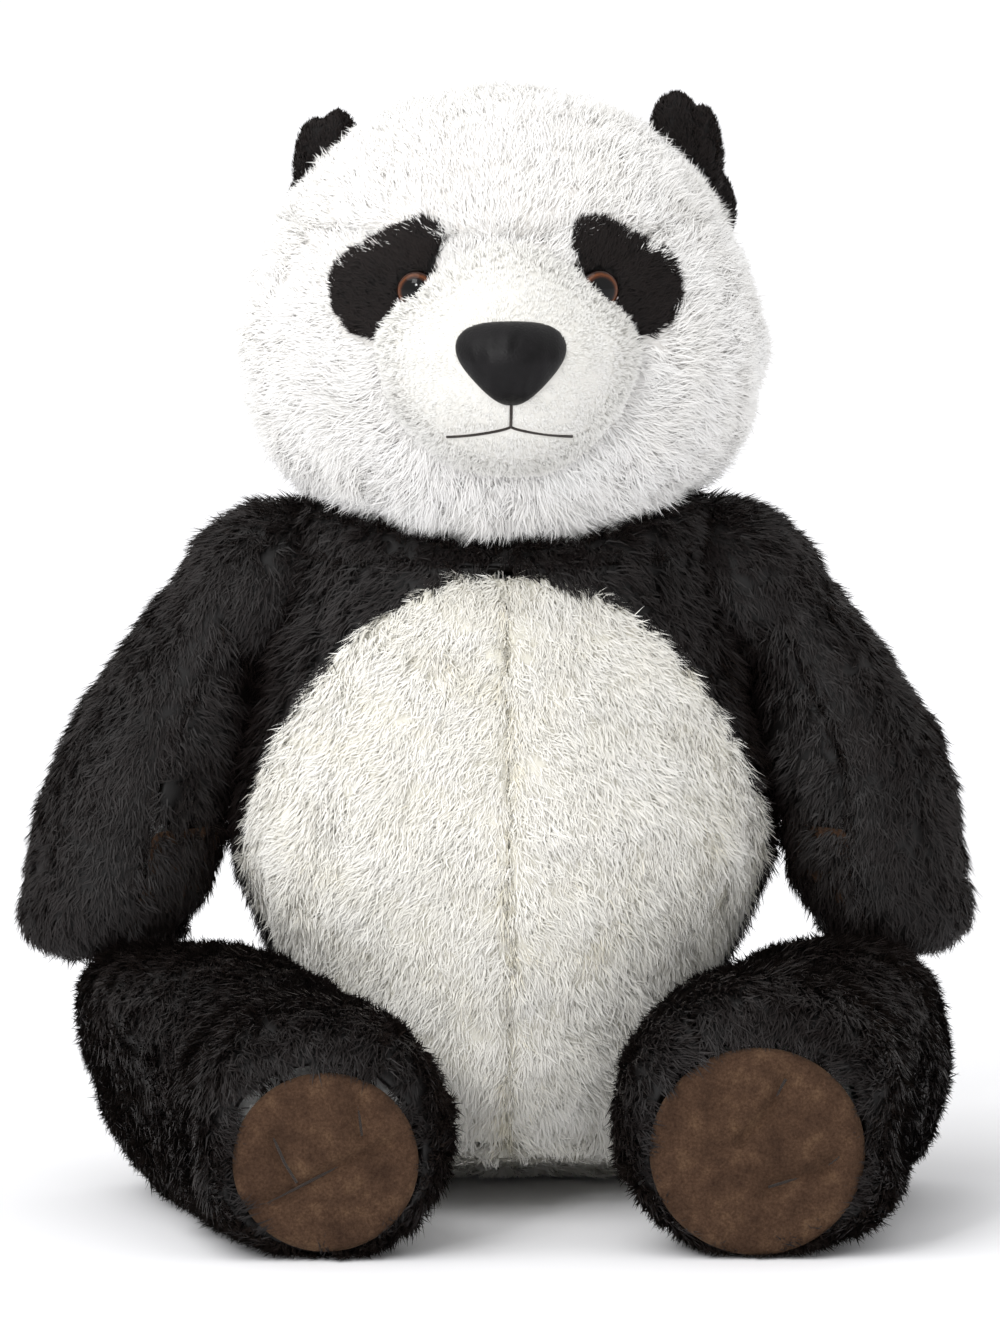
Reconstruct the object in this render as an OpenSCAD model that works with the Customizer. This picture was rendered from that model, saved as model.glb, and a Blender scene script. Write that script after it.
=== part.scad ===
// Seated plush panda: sewn fabric panels over loose stuffing, with a soft joint at the neck,
// ears, shoulders and hips. It sits on Z = 0 and faces -Y, and its own left is +X.

/* [Torso] */
// Height of the shoulders above the floor
torso_height = 285; // [240:1:340]
// Widest part of the belly
torso_width = 217; // [185:1:230]
// Belly to back
torso_depth = 204; // [180:1:225]
// Distance of the white belly's point below the shoulder yoke
belly_drop = 1.3; // [1:0.1:60]
// Height at which the white rump changes to the black upper back
rump_top = 150; // [100:1:180]
// Length of the small tail
tail_length = 30; // [15:1:45]
// Height of the weighting bag in the seat
weight_bag_height = 34; // [20:1:45]

/* [Head] */
// Ear side to ear side, over the cheeks
head_width = 198; // [165:1:220]
// Forehead to back of the head, without the muzzle
head_depth = 168; // [145:1:190]
// Height of the crown above the neck's turning centre
crown_height = 96; // [80:1:115]
// Radius of the round underside on which the head turns
head_ball = 89; // [80:1:92]
// Radius of the neck opening
neck_radius = 45; // [36:1:50]

/* [Face] */
// Width of the muzzle
muzzle_width = 100; // [84:1:110]
// Height of the muzzle above the middle of the nose
muzzle_rise = 43; // [36:1:46]
// Height of the muzzle below the middle of the nose
muzzle_drop = 46; // [38:1:50]
// How far the muzzle stands out from the face
muzzle_depth = 40; // [30:1:50]
// Height of the nose above the neck's turning centre
nose_height = 3; // [-4:1:8]
// Width of the nose
nose_width = 43; // [32:1:50]
// Height of the nose
nose_drop = 31; // [24:1:36]
// Diameter of the safety eyes
eye_diameter = 14.5; // [12:0.5:15]
// How far the muzzle's upper seam tucks under the edge of an eye
eye_tuck = 1.3; // [0:0.1:2]
// Height of the eyes above the neck's turning centre
eye_height = 30; // [26:1:36]
// Radius of the round lower end of an eye patch
eye_patch_radius = 18; // [14:1:19]

/* [Ears] */
// Length of the seam along the base of an ear
ear_width = 64; // [44:1:64]
// Height of an ear
ear_height = 27; // [20:1:36]

/* [Arms] */
// Distance of the shoulder joint below the top of the shoulders
shoulder_drop = 25; // [20:1:45]
// Width of the paw
paw_width = 74; // [60:1:84]
// Front to back of the arm
arm_depth = 70; // [56:1:80]

/* [Legs] */
// Hip joint to the sole of the foot
leg_length = 173; // [145:1:200]
// Width of the thigh and the foot
leg_width = 98; // [80:1:102]
// Height of the thigh
thigh_height = 104; // [84:1:106]
// How far the left foot stands inwards of its hip
left_turn_in = 34; // [16:1:43]
// How far the right foot stands inwards of its hip
right_turn_in = 54; // [16:1:56]

/* [Materials] */
// Thickness of the long pile fabric
pile_fabric = 6; // [4:0.5:7]
// Thickness of the short pile fabric
short_fabric = 3; // [2:0.5:3.5]
// Thickness of the suede of the pads
suede = 1.6; // [1:0.1:2.5]
// Diameter of the embroidery thread
thread = 1.6; // [1:0.1:2]

/* [Clearances] */
// Gap of a sewn seam between two panels
seam = 0.5; // [0.4:0.1:1]
// Space between a panel and what fills it
fill_gap = 2.5; // [2:0.1:4]
// Gap between surfaces that slide on each other at a joint
slide_gap = 1; // [0.6:0.1:1.5]
// Gap between the head's round underside and the dish of the shoulders
dish_gap = 8; // [6:0.5:9]
// Gap between an arm and the torso at the shoulder
arm_gap = 7.2; // [6:0.1:10]
// Gap between an arm and the widest part of the belly
belly_gap = 7.7; // [6:0.1:10]
// Gap between a hanging paw and the thigh under it
paw_gap = 3; // [2:0.5:12]
// Gap between the torso and the leg at the hip
hip_gap = 12.6; // [10:0.1:16]
// Rim of fabric that shows round the sole pad
sole_margin = 1.1; // [1:0.1:6]

/* [Hidden] */

BLACK = "#17120f";
WHITE = "#f1efe8";
BROWN = "#5b4030";
FILLING = "#fbfaf5";
$fn = 48;

// ---- Shared shape tools ----

// Smooth curve through a list of values or rows, with t from 0 at the first to 1 at the last
function through(rows, t) =
    let (last = len(rows) - 1, s = min(max(t, 0), 1) * last, i = min(floor(s), last - 1), f = s - i,
         a = rows[max(i - 1, 0)], b = rows[i], c = rows[i + 1], d = rows[min(i + 2, last)])
    b + (c - a) * f / 2 + (2 * a - 5 * b + 4 * c - d) * f * f / 2
      + (3 * b - a - 3 * c + d) * f * f * f / 2;

function mix(a, b, f) = a + (b - a) * f;
function unit(v) = v / norm(v);
function smooth(f) = let (g = min(max(f, 0), 1)) g * g * (3 - 2 * g);
function mean(points) = [for (axis = [0:2]) [for (p = points) p[axis]] * [for (p = points) 1] / len(points)];

// Point of a skin, moved inwards by depth along its normal
function inset(skin, u, v, depth) =
    let (step = 0.01,
         across = skin(u + 100 * step, v) - skin(u - 100 * step, v),
         along = skin(u, v + step) - skin(u, v - step))
    skin(u, v) - depth * unit(cross(across, along));

function steps(a, b, count) = [for (i = [0:count]) mix(a, b, i / count)];

// Grid of points on a surface at the given values of v, between two edges, each a function of v that gives u
function patch(skin, edge_a, edge_b, v_list, cols, depth) = [
    for (v = v_list) [for (f = steps(0, 1, cols)) inset(skin, mix(edge_a(v), edge_b(v), f), v, depth)]];

function triangles(quads) = [for (q = quads) each [[q[0], q[1], q[2]], [q[0], q[2], q[3]]]];

// Closed solid between an outer and an inner grid of points
module panel_solid(outer, inner) {
    rows = len(outer);
    cols = len(outer[0]);
    n = rows * cols;
    quads = [
        for (i = [0:rows - 2], j = [0:cols - 2]) let (a = i * cols + j)
            each [[a, a + cols, a + cols + 1, a + 1], [n + a, n + a + 1, n + a + cols + 1, n + a + cols]],
        for (i = [0:rows - 2]) let (a = i * cols, b = a + cols - 1)
            each [[a, n + a, n + a + cols, a + cols], [b, b + cols, n + b + cols, n + b]],
        for (j = [0:cols - 2]) let (b = (rows - 1) * cols + j)
            each [[j, j + 1, n + j + 1, n + j], [b, n + b, n + b + 1, b + 1]]];
    polyhedron([for (grid = [outer, inner]) for (row = grid) each row], triangles(quads));
}

// Closed solid through a list of rings of points, with its two ends filled in
module ring_solid(rings) {
    m = len(rings);
    n = len(rings[0]);
    sides = [for (i = [0:m - 2], j = [0:n - 1]) let (a = i * n + j, b = i * n + (j + 1) % n)
        [a, a + n, b + n, b]];
    ends = [for (j = [0:n - 1]) let (k = (j + 1) % n, top = (m - 1) * n)
        each [[m * n, j, k], [m * n + 1, top + k, top + j]]];
    polyhedron(concat([for (r = rings) each r], [mean(rings[0]), mean(rings[m - 1])]),
               concat(triangles(sides), ends));
}

// Closed ring-shaped wall between outer and inner rings of points
module ring_wall(outer, inner) {
    m = len(outer);
    n = len(outer[0]);
    all = m * n;
    quads = [for (j = [0:n - 1]) let (k = (j + 1) % n, top = (m - 1) * n) each concat(
        [for (i = [0:m - 2]) each [[i * n + j, (i + 1) * n + j, (i + 1) * n + k, i * n + k],
            [all + i * n + j, all + i * n + k, all + (i + 1) * n + k, all + (i + 1) * n + j]]],
        [[j, k, all + k, all + j], [top + j, all + top + j, all + top + k, top + k]])];
    polyhedron([for (grid = [outer, inner]) for (row = grid) each row], triangles(quads));
}

// Fabric panel of a given thickness, cut from a surface and held back from its seams
module fabric(skin, edge_a, edge_b, v_list, cols, thick) {
    panel_solid(patch(skin, edge_a, edge_b, v_list, cols, 0), patch(skin, edge_a, edge_b, v_list, cols, thick));
}

// Filling that follows a surface all the way round, inset by depth
module filling(skin, v_list, cols, depth) {
    ring_solid([for (v = v_list) [for (j = [0:cols - 1]) inset(skin, 360 * j / cols, v, depth)]]);
}

// Round thread along a list of points
module thread_along(points, radius, sides = 6) {
    last = len(points) - 1;
    ring_solid([for (i = [0:last])
        let (along = unit(points[min(i + 1, last)] - points[max(i - 1, 0)]),
             e = unit(cross(along, [0.1, 1, 0.2])), f = cross(along, e))
        [for (j = [0:sides - 1]) points[i] + radius * (cos(360 * j / sides) * e + sin(360 * j / sides) * f)]]);
}

module both_sides(side) {
    if (side > 0) children();
    else mirror([1, 0, 0]) children();
}

// ---- Places that several pieces share ----

// The torso's top is a dish about the neck's turning centre
dish_ball = head_ball + dish_gap;
rim_side = 27;
rim_front = 7;
rim_x = neck_radius + rim_side;
rim_y = neck_radius + rim_front;
pivot_z = torso_height + sqrt(dish_ball ^ 2 - rim_x ^ 2);
function dish_z(r) = pivot_z - sqrt(dish_ball ^ 2 - r ^ 2);

// ---- Torso ----

// Rows of height, half width, front and back, as shares of the torso's own sizes
torso_rows = [
    [0.00, 0.60, 0.76, 0.78], [0.08, 0.70, 0.90, 0.92], [0.21, 0.73, 0.97, 0.98],
    [0.34, 0.84, 1.00, 1.00], [0.465, 0.99, 0.98, 0.97], [0.58, 0.98, 0.92, 0.91],
    [0.69, 0.91, 0.83, 0.83], [0.81, 0.855, 0.70, 0.73], [0.915, 0.80, 0.58, 0.62]];
torso_share = 0.86;
torso_foot = pile_fabric + seam;
hip_row = torso_rows[2];
widest_row = torso_rows[4];
shoulder_row = torso_rows[len(torso_rows) - 1];

function torso_row(v) =
    let (row = through(torso_rows, v / torso_share))
    [torso_foot + row[0] * (torso_height - torso_foot), row[1] * torso_width / 2,
     row[2] * torso_depth / 2, row[3] * torso_depth / 2];

function oval(u, row) = [row[1] * sin(u), (cos(u) > 0 ? -row[2] : -row[3]) * cos(u), row[0]];

function rim_point(u) =
    let (r = 1 / norm([sin(u) / rim_x, cos(u) / rim_y]))
    [r * sin(u), -r * cos(u), dish_z(r)];

function opening_point(u) = [neck_radius * sin(u), -neck_radius * cos(u), dish_z(neck_radius)];

// Torso surface: the barrel up to torso_share, then over the rim and down into the dish
torso = function (u, v)
    v <= torso_share ? oval(u, torso_row(v))
    : let (f = (v - torso_share) / (1 - torso_share), top = oval(u, torso_row(torso_share)))
      f < 0.6 ? let (g = f / 0.6, bulge = 4 * sin(180 * g) * sin(u) ^ 2)
                mix(top, rim_point(u), g) + [bulge * sin(u), 0, bulge]
      : mix(rim_point(u), opening_point(u), (f - 0.6) / 0.4);

// Half angle that the white belly patch covers at a height
belly_low = 120;
belly_top = mix(torso_foot, torso_height, shoulder_row[0]) - belly_drop;
function belly_angle(v) =
    let (rise = max(0, torso_row(v)[0] - belly_low) / (belly_top - belly_low))
    80 * sqrt(max(0, 1 - rise ^ 1.5));

// Value of v at which the torso reaches a height, found by halving
function torso_v(z, low = 0, high = torso_share, tries = 20) =
    tries == 0 ? (low + high) / 2
    : let (half = (low + high) / 2)
      torso_row(half)[0] < z ? torso_v(z, half, high, tries - 1) : torso_v(z, low, half, tries - 1);

seam_angle = asin(seam / torso_width);
back_angle = 118;
belly_end = torso_v(belly_top - 3);
rump_end = torso_v(rump_top);
seam_v = seam / torso_height;
yoke_seam = torso_share - seam_v;
belly_rows = steps(0, belly_end, 14);

module belly_panel(side) {
    color(WHITE) both_sides(side)
        fabric(torso, function (v) seam_angle, function (v) belly_angle(v) - seam_angle,
               belly_rows, 7, pile_fabric);
}

module side_panel(side) {
    color(BLACK) both_sides(side)
        fabric(torso, function (v) belly_angle(v) + seam_angle, function (v) back_angle - seam_angle,
               concat(belly_rows, [mix(belly_end, yoke_seam, 0.5), yoke_seam]), 9, pile_fabric);
}

module upper_back(side) {
    color(BLACK) both_sides(side)
        fabric(torso, function (v) back_angle + seam_angle, function (v) 180 - seam_angle,
               steps(rump_end + seam_v, yoke_seam, 8), 6, pile_fabric);
}

module rump_panel(side) {
    color(WHITE) both_sides(side)
        fabric(torso, function (v) back_angle + seam_angle, function (v) 180 - seam_angle,
               steps(0, rump_end - seam_v, 8), 6, pile_fabric);
}

// The ring over the shoulders, closed on itself
module shoulder_yoke() {
    turns = 40;
    rows = 6;
    function rings(depth) = [for (i = [0:rows]) [for (j = [0:turns - 1])
        inset(torso, 360 * j / turns, mix(torso_share + seam_v, 1, i / rows), depth)]];
    color(BLACK) ring_wall(rings(0), rings(pile_fabric));
}

module seat_panel() {
    edge = torso_row(0);
    color(WHITE) linear_extrude(pile_fabric)
        polygon([for (j = [0:47]) let (p = oval(360 * j / 48, edge)) [p[0], p[1]]]);
}

tail_width = 40;
tail_droop = 12;

module tail() {
    at = torso(180, torso_v(0.25 * torso_height));
    shares = [0.8, 0.96, 1, 0.97, 0.85, 0.62, 0.25];
    last = len(shares) - 1;
    color(WHITE) ring_solid([for (i = [0:last]) [for (j = [0:15])
        [tail_width / 2 * shares[i] * cos(22.5 * j), at[1] + 2 * seam + i / last * tail_length,
         at[2] - tail_droop * (i / last) ^ 2 - tail_width * 0.36 * shares[i] * sin(22.5 * j)]]]);
}

// Ladder stitch that closes the back seam after stuffing
module back_closing_stitch() {
    low = torso_v(rump_top + 16);
    high = torso_v(rump_top + 66);
    color(BLACK) thread_along([for (i = [0:14])
        torso((i % 2 == 0 ? 178.2 : 181.8), mix(low, high, i / 14)) + [0, thread / 2 + 2 * seam, 0]], thread / 2);
}

bag_top = pile_fabric + fill_gap + weight_bag_height;

module weight_bag() {
    edge = weight_bag_height / 2;
    reach = 0.29 * torso_width;
    color("#8a8f96") translate([0, 0, pile_fabric + fill_gap + edge]) rotate_extrude()
        union() {
            translate([0, -edge]) square([reach - edge, 2 * edge]);
            intersection() {
                translate([reach - edge, 0]) circle(edge);
                translate([0, -edge]) square([reach, 2 * edge]);
            }
        }
}

module body_stuffing() {
    first = torso_v(bag_top + fill_gap + pile_fabric);
    last = torso_v(dish_z(0) - fill_gap);
    color(FILLING) filling(torso, steps(first, last, 11), 32, pile_fabric + fill_gap);
}

// ---- Neck: a round pad between the dish and the head ----

module neck_zone(r_in, r_out) {
    low = dish_ball - slide_gap;
    high = head_ball + slide_gap;
    steps = 8;
    function arc(radius, f) = let (r = mix(r_in, r_out, f)) [r, -sqrt(radius ^ 2 - r ^ 2)];
    translate([0, 0, pivot_z]) rotate_extrude($fn = 64)
        polygon(concat([for (i = [0:steps]) arc(low, i / steps)], [for (i = [steps:-1:0]) arc(high, i / steps)]));
}

neck_fill_radius = neck_radius - 2 * pile_fabric;

module neck_gusset() {
    color(BLACK) neck_zone(neck_fill_radius + seam, neck_radius - 2 * seam);
}

module neck_stuffing() {
    color(FILLING) neck_zone(0, neck_fill_radius - seam);
}

// ---- Head ----

widest = -10;
rim_drop = pivot_z - torso_height;
jowl_drop = rim_drop + 11;
brow_height = eye_height + 16;
head_front = 0.505 * head_depth;
head_rear = 0.495 * head_depth;

// Half sizes of the head at a height above the turning centre: width, front and back
function head_half(h, size) =
    h < widest
        ? let (ball = sqrt(max(0, head_ball ^ 2 - h ^ 2)),
               jowl = size * sqrt(max(0, 1 - ((widest - h) / jowl_drop) ^ 2)))
          mix(ball, jowl, smooth((h + rim_drop + 7) / 22))
        : size * max(0, 1 - ((h - widest) / (crown_height - widest)) ^ 2.2) ^ (1 / 2.2);

function head_row(h) = [pivot_z + h, head_half(h, head_width / 2), head_half(h, head_front), head_half(h, head_rear)];

head_low = -sqrt(head_ball ^ 2 - neck_radius ^ 2);
// The angle from the underside to the crown sets the height, which keeps the rows even
function head_height(v) = v < 0.5
    ? mix(head_low, widest, sin(180 * v))
    : mix(widest, crown_height, sin(180 * (v - 0.5)));

head = function (u, v) oval(u, head_row(head_height(v)));

// Front surface of the head at a sideways place and a height above the turning centre
function face_y(x, h) = let (row = head_row(h)) -row[2] * sqrt(max(0, 1 - (x / row[1]) ^ 2));

face_angle = 96;
brow = 0.5 + asin((brow_height - widest) / (crown_height - widest)) / 180;
head_start = 0.01;
crown_end = 0.99;
head_seam_v = 0.003;

module cheek_panel(side) {
    color(WHITE) both_sides(side)
        fabric(head, function (v) seam_angle, function (v) face_angle - seam_angle,
               steps(head_start, brow - head_seam_v, 10), 9, pile_fabric);
}

module crown_panel() {
    color(WHITE) fabric(head, function (v) seam_angle - face_angle, function (v) face_angle - seam_angle,
                        steps(brow + head_seam_v, crown_end, 5), 16, pile_fabric);
}

module head_back(side) {
    color(WHITE) both_sides(side)
        fabric(head, function (v) face_angle + seam_angle, function (v) 180 - seam_angle,
               steps(head_start, crown_end, 12), 7, pile_fabric);
}

module head_stuffing() {
    depth = pile_fabric + fill_gap;
    plug = [for (r = [12, 26]) [for (j = [0:31])
        [r * sin(11.25 * j), -r * cos(11.25 * j), pivot_z - sqrt((head_ball - slide_gap) ^ 2 - r ^ 2)]]];
    body = [for (v = steps(0.17, crown_end, 9)) [for (j = [0:31]) inset(head, 11.25 * j, v, depth)]];
    color(FILLING) ring_solid(concat(plug, body));
}

// ---- Muzzle, nose and mouth ----

// The muzzle sits on the fabric of the face and the edges of the eye patches
patch_lift = 0.9;
patch_fabric = 1.8;
muzzle_seat = patch_lift + patch_fabric + seam;

// Narrowing of the muzzle towards the bridge, and the steepness of its side
function bridge(w) = 1 - 0.38 * max(0, sin(w)) ^ 1.5;
function side_power(w) = 0.55 + 0.5 * max(0, sin(w));

// Muzzle rim at share k from the middle and angle w, for a muzzle made smaller all round by less
function muzzle_spot(k, w, less) = [
    k * (muzzle_width / 2 - less) * bridge(w) * cos(w),
    k * ((sin(w) > 0 ? muzzle_rise : muzzle_drop) - less) * sin(w)];

function muzzle_at(k, w, less) =
    let (p = muzzle_spot(k, w, less), h = nose_height + p[1])
    [p[0], face_y(p[0], h) - muzzle_seat - (muzzle_depth - less) * (1 - k ^ 2.2) ^ side_power(w), pivot_z + h];

// Angle and share of a place on the muzzle, and its surface there
function muzzle_w(x, z, w = 45) =
    let (guess = atan2(z / (z > 0 ? muzzle_rise : muzzle_drop), x / (muzzle_width / 2 * bridge(w))))
    abs(guess - w) < 0.01 ? guess : muzzle_w(x, z, guess);
function muzzle_y(x, z) =
    let (w = muzzle_w(x, z), tall = z > 0 ? muzzle_rise : muzzle_drop,
         k = norm([x / (muzzle_width / 2 * bridge(w)), z / tall]))
    muzzle_at(min(k, 1), w, 0)[1];

chin_start = 232;
chin_stop = 308;
muzzle_shares = [1, 0.985, 0.94, 0.85, 0.7, 0.5, 0.3, 0.14];

module muzzle_part(w_a, w_b, cols) {
    gap = 0.6;
    function grid(less) = [for (k = muzzle_shares) [for (j = [0:cols])
        muzzle_at(k, mix(w_a + gap, w_b - gap, j / cols), less)]];
    panel_solid(grid(0), grid(short_fabric));
}

module muzzle_panel(side) {
    color(WHITE) both_sides(side) muzzle_part(chin_stop - 360, 90, 10);
}

module chin_panel() {
    color(WHITE) muzzle_part(chin_start, chin_stop, 6);
}

module muzzle_stuffing() {
    less = short_fabric + fill_gap;
    function front(k) = [for (j = [0:23]) muzzle_at(k, 15 * j, less)];
    function back(k) = [for (p = front(k)) [p[0], face_y(p[0], p[2] - pivot_z) - muzzle_seat, p[2]]];
    color(FILLING) ring_solid(concat([for (k = [0.15, 0.6, 0.94]) back(k)],
                                     [for (k = [0.94, 0.85, 0.7, 0.45, 0.15]) front(k)]));
}

// Outline round two circles, given by the direction w of its normal
function two_circles(a, r_a, b, r_b, w) =
    let (n = [cos(w), sin(w)])
    a * n + r_a > b * n + r_b ? a + r_a * n : b + r_b * n;

// Domed pad with an outline, laid on a surface: thickness rises from edge to crown
module pad(outline, middle, skin, lift, edge, crown, around = 24) {
    function ring(k, top) = [for (j = [0:around - 1])
        let (p = mix(middle, outline(360 * j / around), k),
             rise = top ? edge + (crown - edge) * sqrt(1 - k ^ 2) : 0)
        [p[0], skin(p[0], p[1]) - lift - rise, pivot_z + p[1]]];
    ring_solid(concat([for (k = [0.3, 0.7, 1]) ring(k, false)], [for (k = [1, 0.9, 0.65, 0.3]) ring(k, true)]));
}

nose_middle = [0, nose_height];

// Rounded triangle: a wide top and a narrow tip
function nose_outline(w) =
    let (share = 1 - 0.16 * sin(w) - 0.07 * cos(2 * w) + 0.05 * sin(3 * w))
    nose_middle + [nose_width / 2 * cos(w) * (1 + 0.22 * sin(w)), nose_drop / 2 * sin(w) * share];

module nose() {
    on_muzzle = function (x, h) muzzle_y(x, h - nose_height);
    color("#14110f") pad(function (w) nose_outline(w), nose_middle, on_muzzle, 2 * seam, 2, 7);
}

// Thread that runs down from the nose and out to both corners of the mouth
module mouth_stitch() {
    function spot(x, drop) = let (z = -drop)
        [x, muzzle_y(x, z) - thread / 2 - 2 * seam, pivot_z + nose_height + z];
    start = nose_drop / 2 + 5.2;
    turn = start + 7.5;
    lip = [for (i = [-8:8]) let (s = i / 8) spot(24 * s, turn + 6 * abs(s) ^ 0.8)];
    color("#3a322c") {
        thread_along([for (i = [0:4]) spot(0, mix(start, turn - thread - seam, i / 4))], thread / 2);
        thread_along(lip, thread / 2);
    }
}

// ---- Eyes ----

// Half width of the muzzle at a height above the turning centre
function muzzle_reach(h) =
    let (w = asin((h - nose_height) / muzzle_rise))
    muzzle_width / 2 * bridge(w) * cos(w);

eye_middle = [muzzle_reach(eye_height) + eye_diameter / 2 - eye_tuck, eye_height];
patch_low = eye_middle + [14, -6];
patch_high = eye_middle + [-4, 16];

module eye_patch(side) {
    outline = function (w) two_circles(patch_low, eye_patch_radius, patch_high, 0.4 * eye_patch_radius, w);
    color(BLACK) both_sides(side)
        pad(outline, mix(patch_low, patch_high, 0.3), function (x, h) face_y(x, h), patch_lift,
            patch_fabric, patch_fabric);
}

// Frame of an eye: its back rests on the patch and it looks a little outwards
module eye_frame(side) {
    both_sides(side)
        translate([eye_middle[0], face_y(eye_middle[0], eye_height) - muzzle_seat - 1, pivot_z + eye_height])
        rotate([90, 0, 16]) children();
}

shank_radius = 2;
shank_length = 17;
washer_depth = 5.6;

module safety_eye(side) {
    r = eye_diameter / 2;
    color("#2b1a10") eye_frame(side) {
        rotate_extrude() intersection() {
            translate([0, -0.35 * r]) circle(1.06 * r);
            square([r, r]);
        }
        translate([0, 0, -shank_length]) cylinder(h = shank_length, r = shank_radius);
    }
}

module eye_washer(side) {
    color("#e8e8e4") eye_frame(side) translate([0, 0, -muzzle_seat - pile_fabric - washer_depth]) difference() {
        cylinder(h = 1.5, r = 0.9 * eye_diameter / 2);
        translate([0, 0, -1]) cylinder(h = 4, r = shank_radius - 0.1);
    }
}

// ---- Ears ----

// Rows from the front to the rear end of an ear's base seam: height and place to the back on the head,
// the direction in which the ear stands there, and its share of the ear's height
ear_rows = [
    [80, 2, 0.35, 0.00, 0.94, 0.12], [74, 5, 0.32, 0.08, 0.94, 0.66], [64, 12, 0.30, 0.18, 0.93, 1.00],
    [50, 22, 0.55, 0.50, 0.60, 0.78], [36, 34, 0.70, 0.70, 0.10, 0.10]];
ear_full_width = 64;
ear_full_crown = 96;
ear_fabric = 3.4;
ear_gap = 7.5;

function ear_row(s) = through(ear_rows, 0.5 + s * ear_width / ear_full_width / 2);

// Point of the base seam, held clear of the head
function ear_base(s) =
    let (row = ear_row(s), h = row[0] * crown_height / ear_full_crown,
         x = head_half(h, head_width / 2) * sqrt(1 - (row[1] / head_half(h, head_rear)) ^ 2))
    [x, row[1], pivot_z + h] + ear_gap * unit([x, row[1], h - 20]);

// Ear sheet, cupped towards the front; lift moves it along its facing
function ear_spot(s, t, lift) =
    let (row = ear_row(s), out = unit([row[2], row[3], row[4]]),
         along = unit(ear_base(min(s + 0.05, 1)) - ear_base(max(s - 0.05, -1))))
    ear_base(s) + out * ear_height * row[5] * t + unit(cross(along, out)) * (lift + 4 * t * t);

module ear_sheet(side, low, high) {
    function grid(lift) = [for (i = [0:5]) [for (j = [-8:8]) ear_spot(j / 8, i / 5, lift)]];
    both_sides(side) panel_solid(grid(high), grid(low));
}

module ear_front(side) {
    color(BLACK) ear_sheet(side, seam / 2, ear_fabric + seam / 2);
}

module ear_back(side) {
    color(BLACK) ear_sheet(side, -ear_fabric - seam / 2, -seam / 2);
}

// ---- Arms ----

shoulder_y = 8;
shoulder_height = torso_height - shoulder_drop;
arm_length = shoulder_height - thigh_height - paw_gap;

// The inner side of an arm runs from the shoulder out to the widest part of the belly
shoulder_x = shoulder_row[1] * torso_width / 2 + arm_gap;
widest_x = widest_row[1] * torso_width / 2 + belly_gap;
shoulder_slope = (widest_x - shoulder_x) / (shoulder_height - mix(torso_foot, torso_height, widest_row[0]));

// Rows of drop, inward round-off, width, depth and forward shift, as shares of the arm's sizes
arm_rows = [
    [-0.155, 0.03, 0.06, 0.12, 0.00], [-0.085, 0.00, 0.27, 0.64, 0.00], [0.03, 0.00, 0.43, 0.86, 0.00],
    [0.20, 0.00, 0.61, 0.95, 0.02], [0.42, 0.00, 0.81, 0.98, 0.08], [0.65, 0.00, 0.94, 1.00, 0.15],
    [0.84, 0.00, 1.00, 0.96, 0.21], [0.95, 0.09, 0.84, 0.74, 0.23], [1.00, 0.28, 0.42, 0.32, 0.23]];

arm = function (u, v)
    let (row = through(arm_rows, v), drop = row[0] * arm_length, wide = row[2] * paw_width,
         inner = shoulder_x + shoulder_slope * abs(drop) + row[1] * paw_width)
    [inner + wide / 2 * (1 - cos(u)), shoulder_y - row[4] * arm_depth + row[3] * arm_depth / 2 * sin(u),
     shoulder_height - drop];

inner_angle = 74;
pad_start = 0.66;
pad_stop = 0.965;
arm_start = 0.02;
arm_stop = 0.985;
arm_seam_v = 0.004;
// Seams of the limbs, in degrees round the limb
limb_seam = 1;
limb_fabric = 0.8 * pile_fabric;

module arm_outer(side) {
    color(BLACK) both_sides(side)
        fabric(arm, function (v) inner_angle + limb_seam, function (v) 360 - inner_angle - limb_seam,
               steps(arm_start, arm_stop, 12), 11, limb_fabric);
}

module arm_inner(side) {
    color(BLACK) both_sides(side)
        fabric(arm, function (v) -inner_angle + limb_seam, function (v) inner_angle - limb_seam,
               steps(arm_start, pad_start - arm_seam_v, 8), 5, limb_fabric);
}

module paw_pad(side) {
    color(BROWN) both_sides(side)
        fabric(arm, function (v) -inner_angle + limb_seam, function (v) inner_angle - limb_seam,
               steps(pad_start + arm_seam_v, pad_stop, 5), 6, suede);
}

module arm_stuffing(side) {
    color(FILLING) both_sides(side)
        filling(arm, steps(0.14, 0.93, 8), 16, limb_fabric + fill_gap);
}

// ---- Legs ----

hip_y = -15;
hip_x = hip_row[1] * torso_width / 2 + 0.4 * leg_width + hip_gap;
left_foot_x = hip_x - left_turn_in;
right_foot_x = hip_x - right_turn_in;

// Rows of forward share, share of the way from hip to foot sideways, and shares of width and height
leg_rows = [
    [-0.20, 0.00, 0.14, 0.16], [-0.14, 0.00, 0.56, 0.62], [0.00, 0.03, 0.80, 0.88],
    [0.22, 0.22, 0.94, 0.98], [0.44, 0.50, 1.00, 1.00], [0.61, 0.78, 0.95, 0.92],
    [0.73, 0.92, 0.99, 0.93], [0.86, 1.00, 1.00, 0.93], [0.95, 1.02, 0.92, 0.85],
    [0.985, 1.02, 0.78, 0.72]];

// How far the outer side of the thigh is fuller above than below
thigh_roll = 0.2;

function leg_surface(foot_x) = function (u, v)
    let (row = through(leg_rows, v), tall = row[3] * thigh_height,
         x = mix(hip_x, foot_x, row[1]), z = tall / 2 - 1 + (0.96 - row[3]) * 12)
    [x + row[2] * leg_width / 2 * sin(u) * (sin(u) > 0 ? 1 - thigh_roll * cos(u) : 1),
     hip_y - row[0] * leg_length, max(0, z - tall / 2 * cos(u))];

// Lower and upper edge of the inner panel, which faces the belly
leg_inner_low = -150;
leg_inner_high = -50;
leg_rows_v = steps(0.01, 1, 13);

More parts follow.
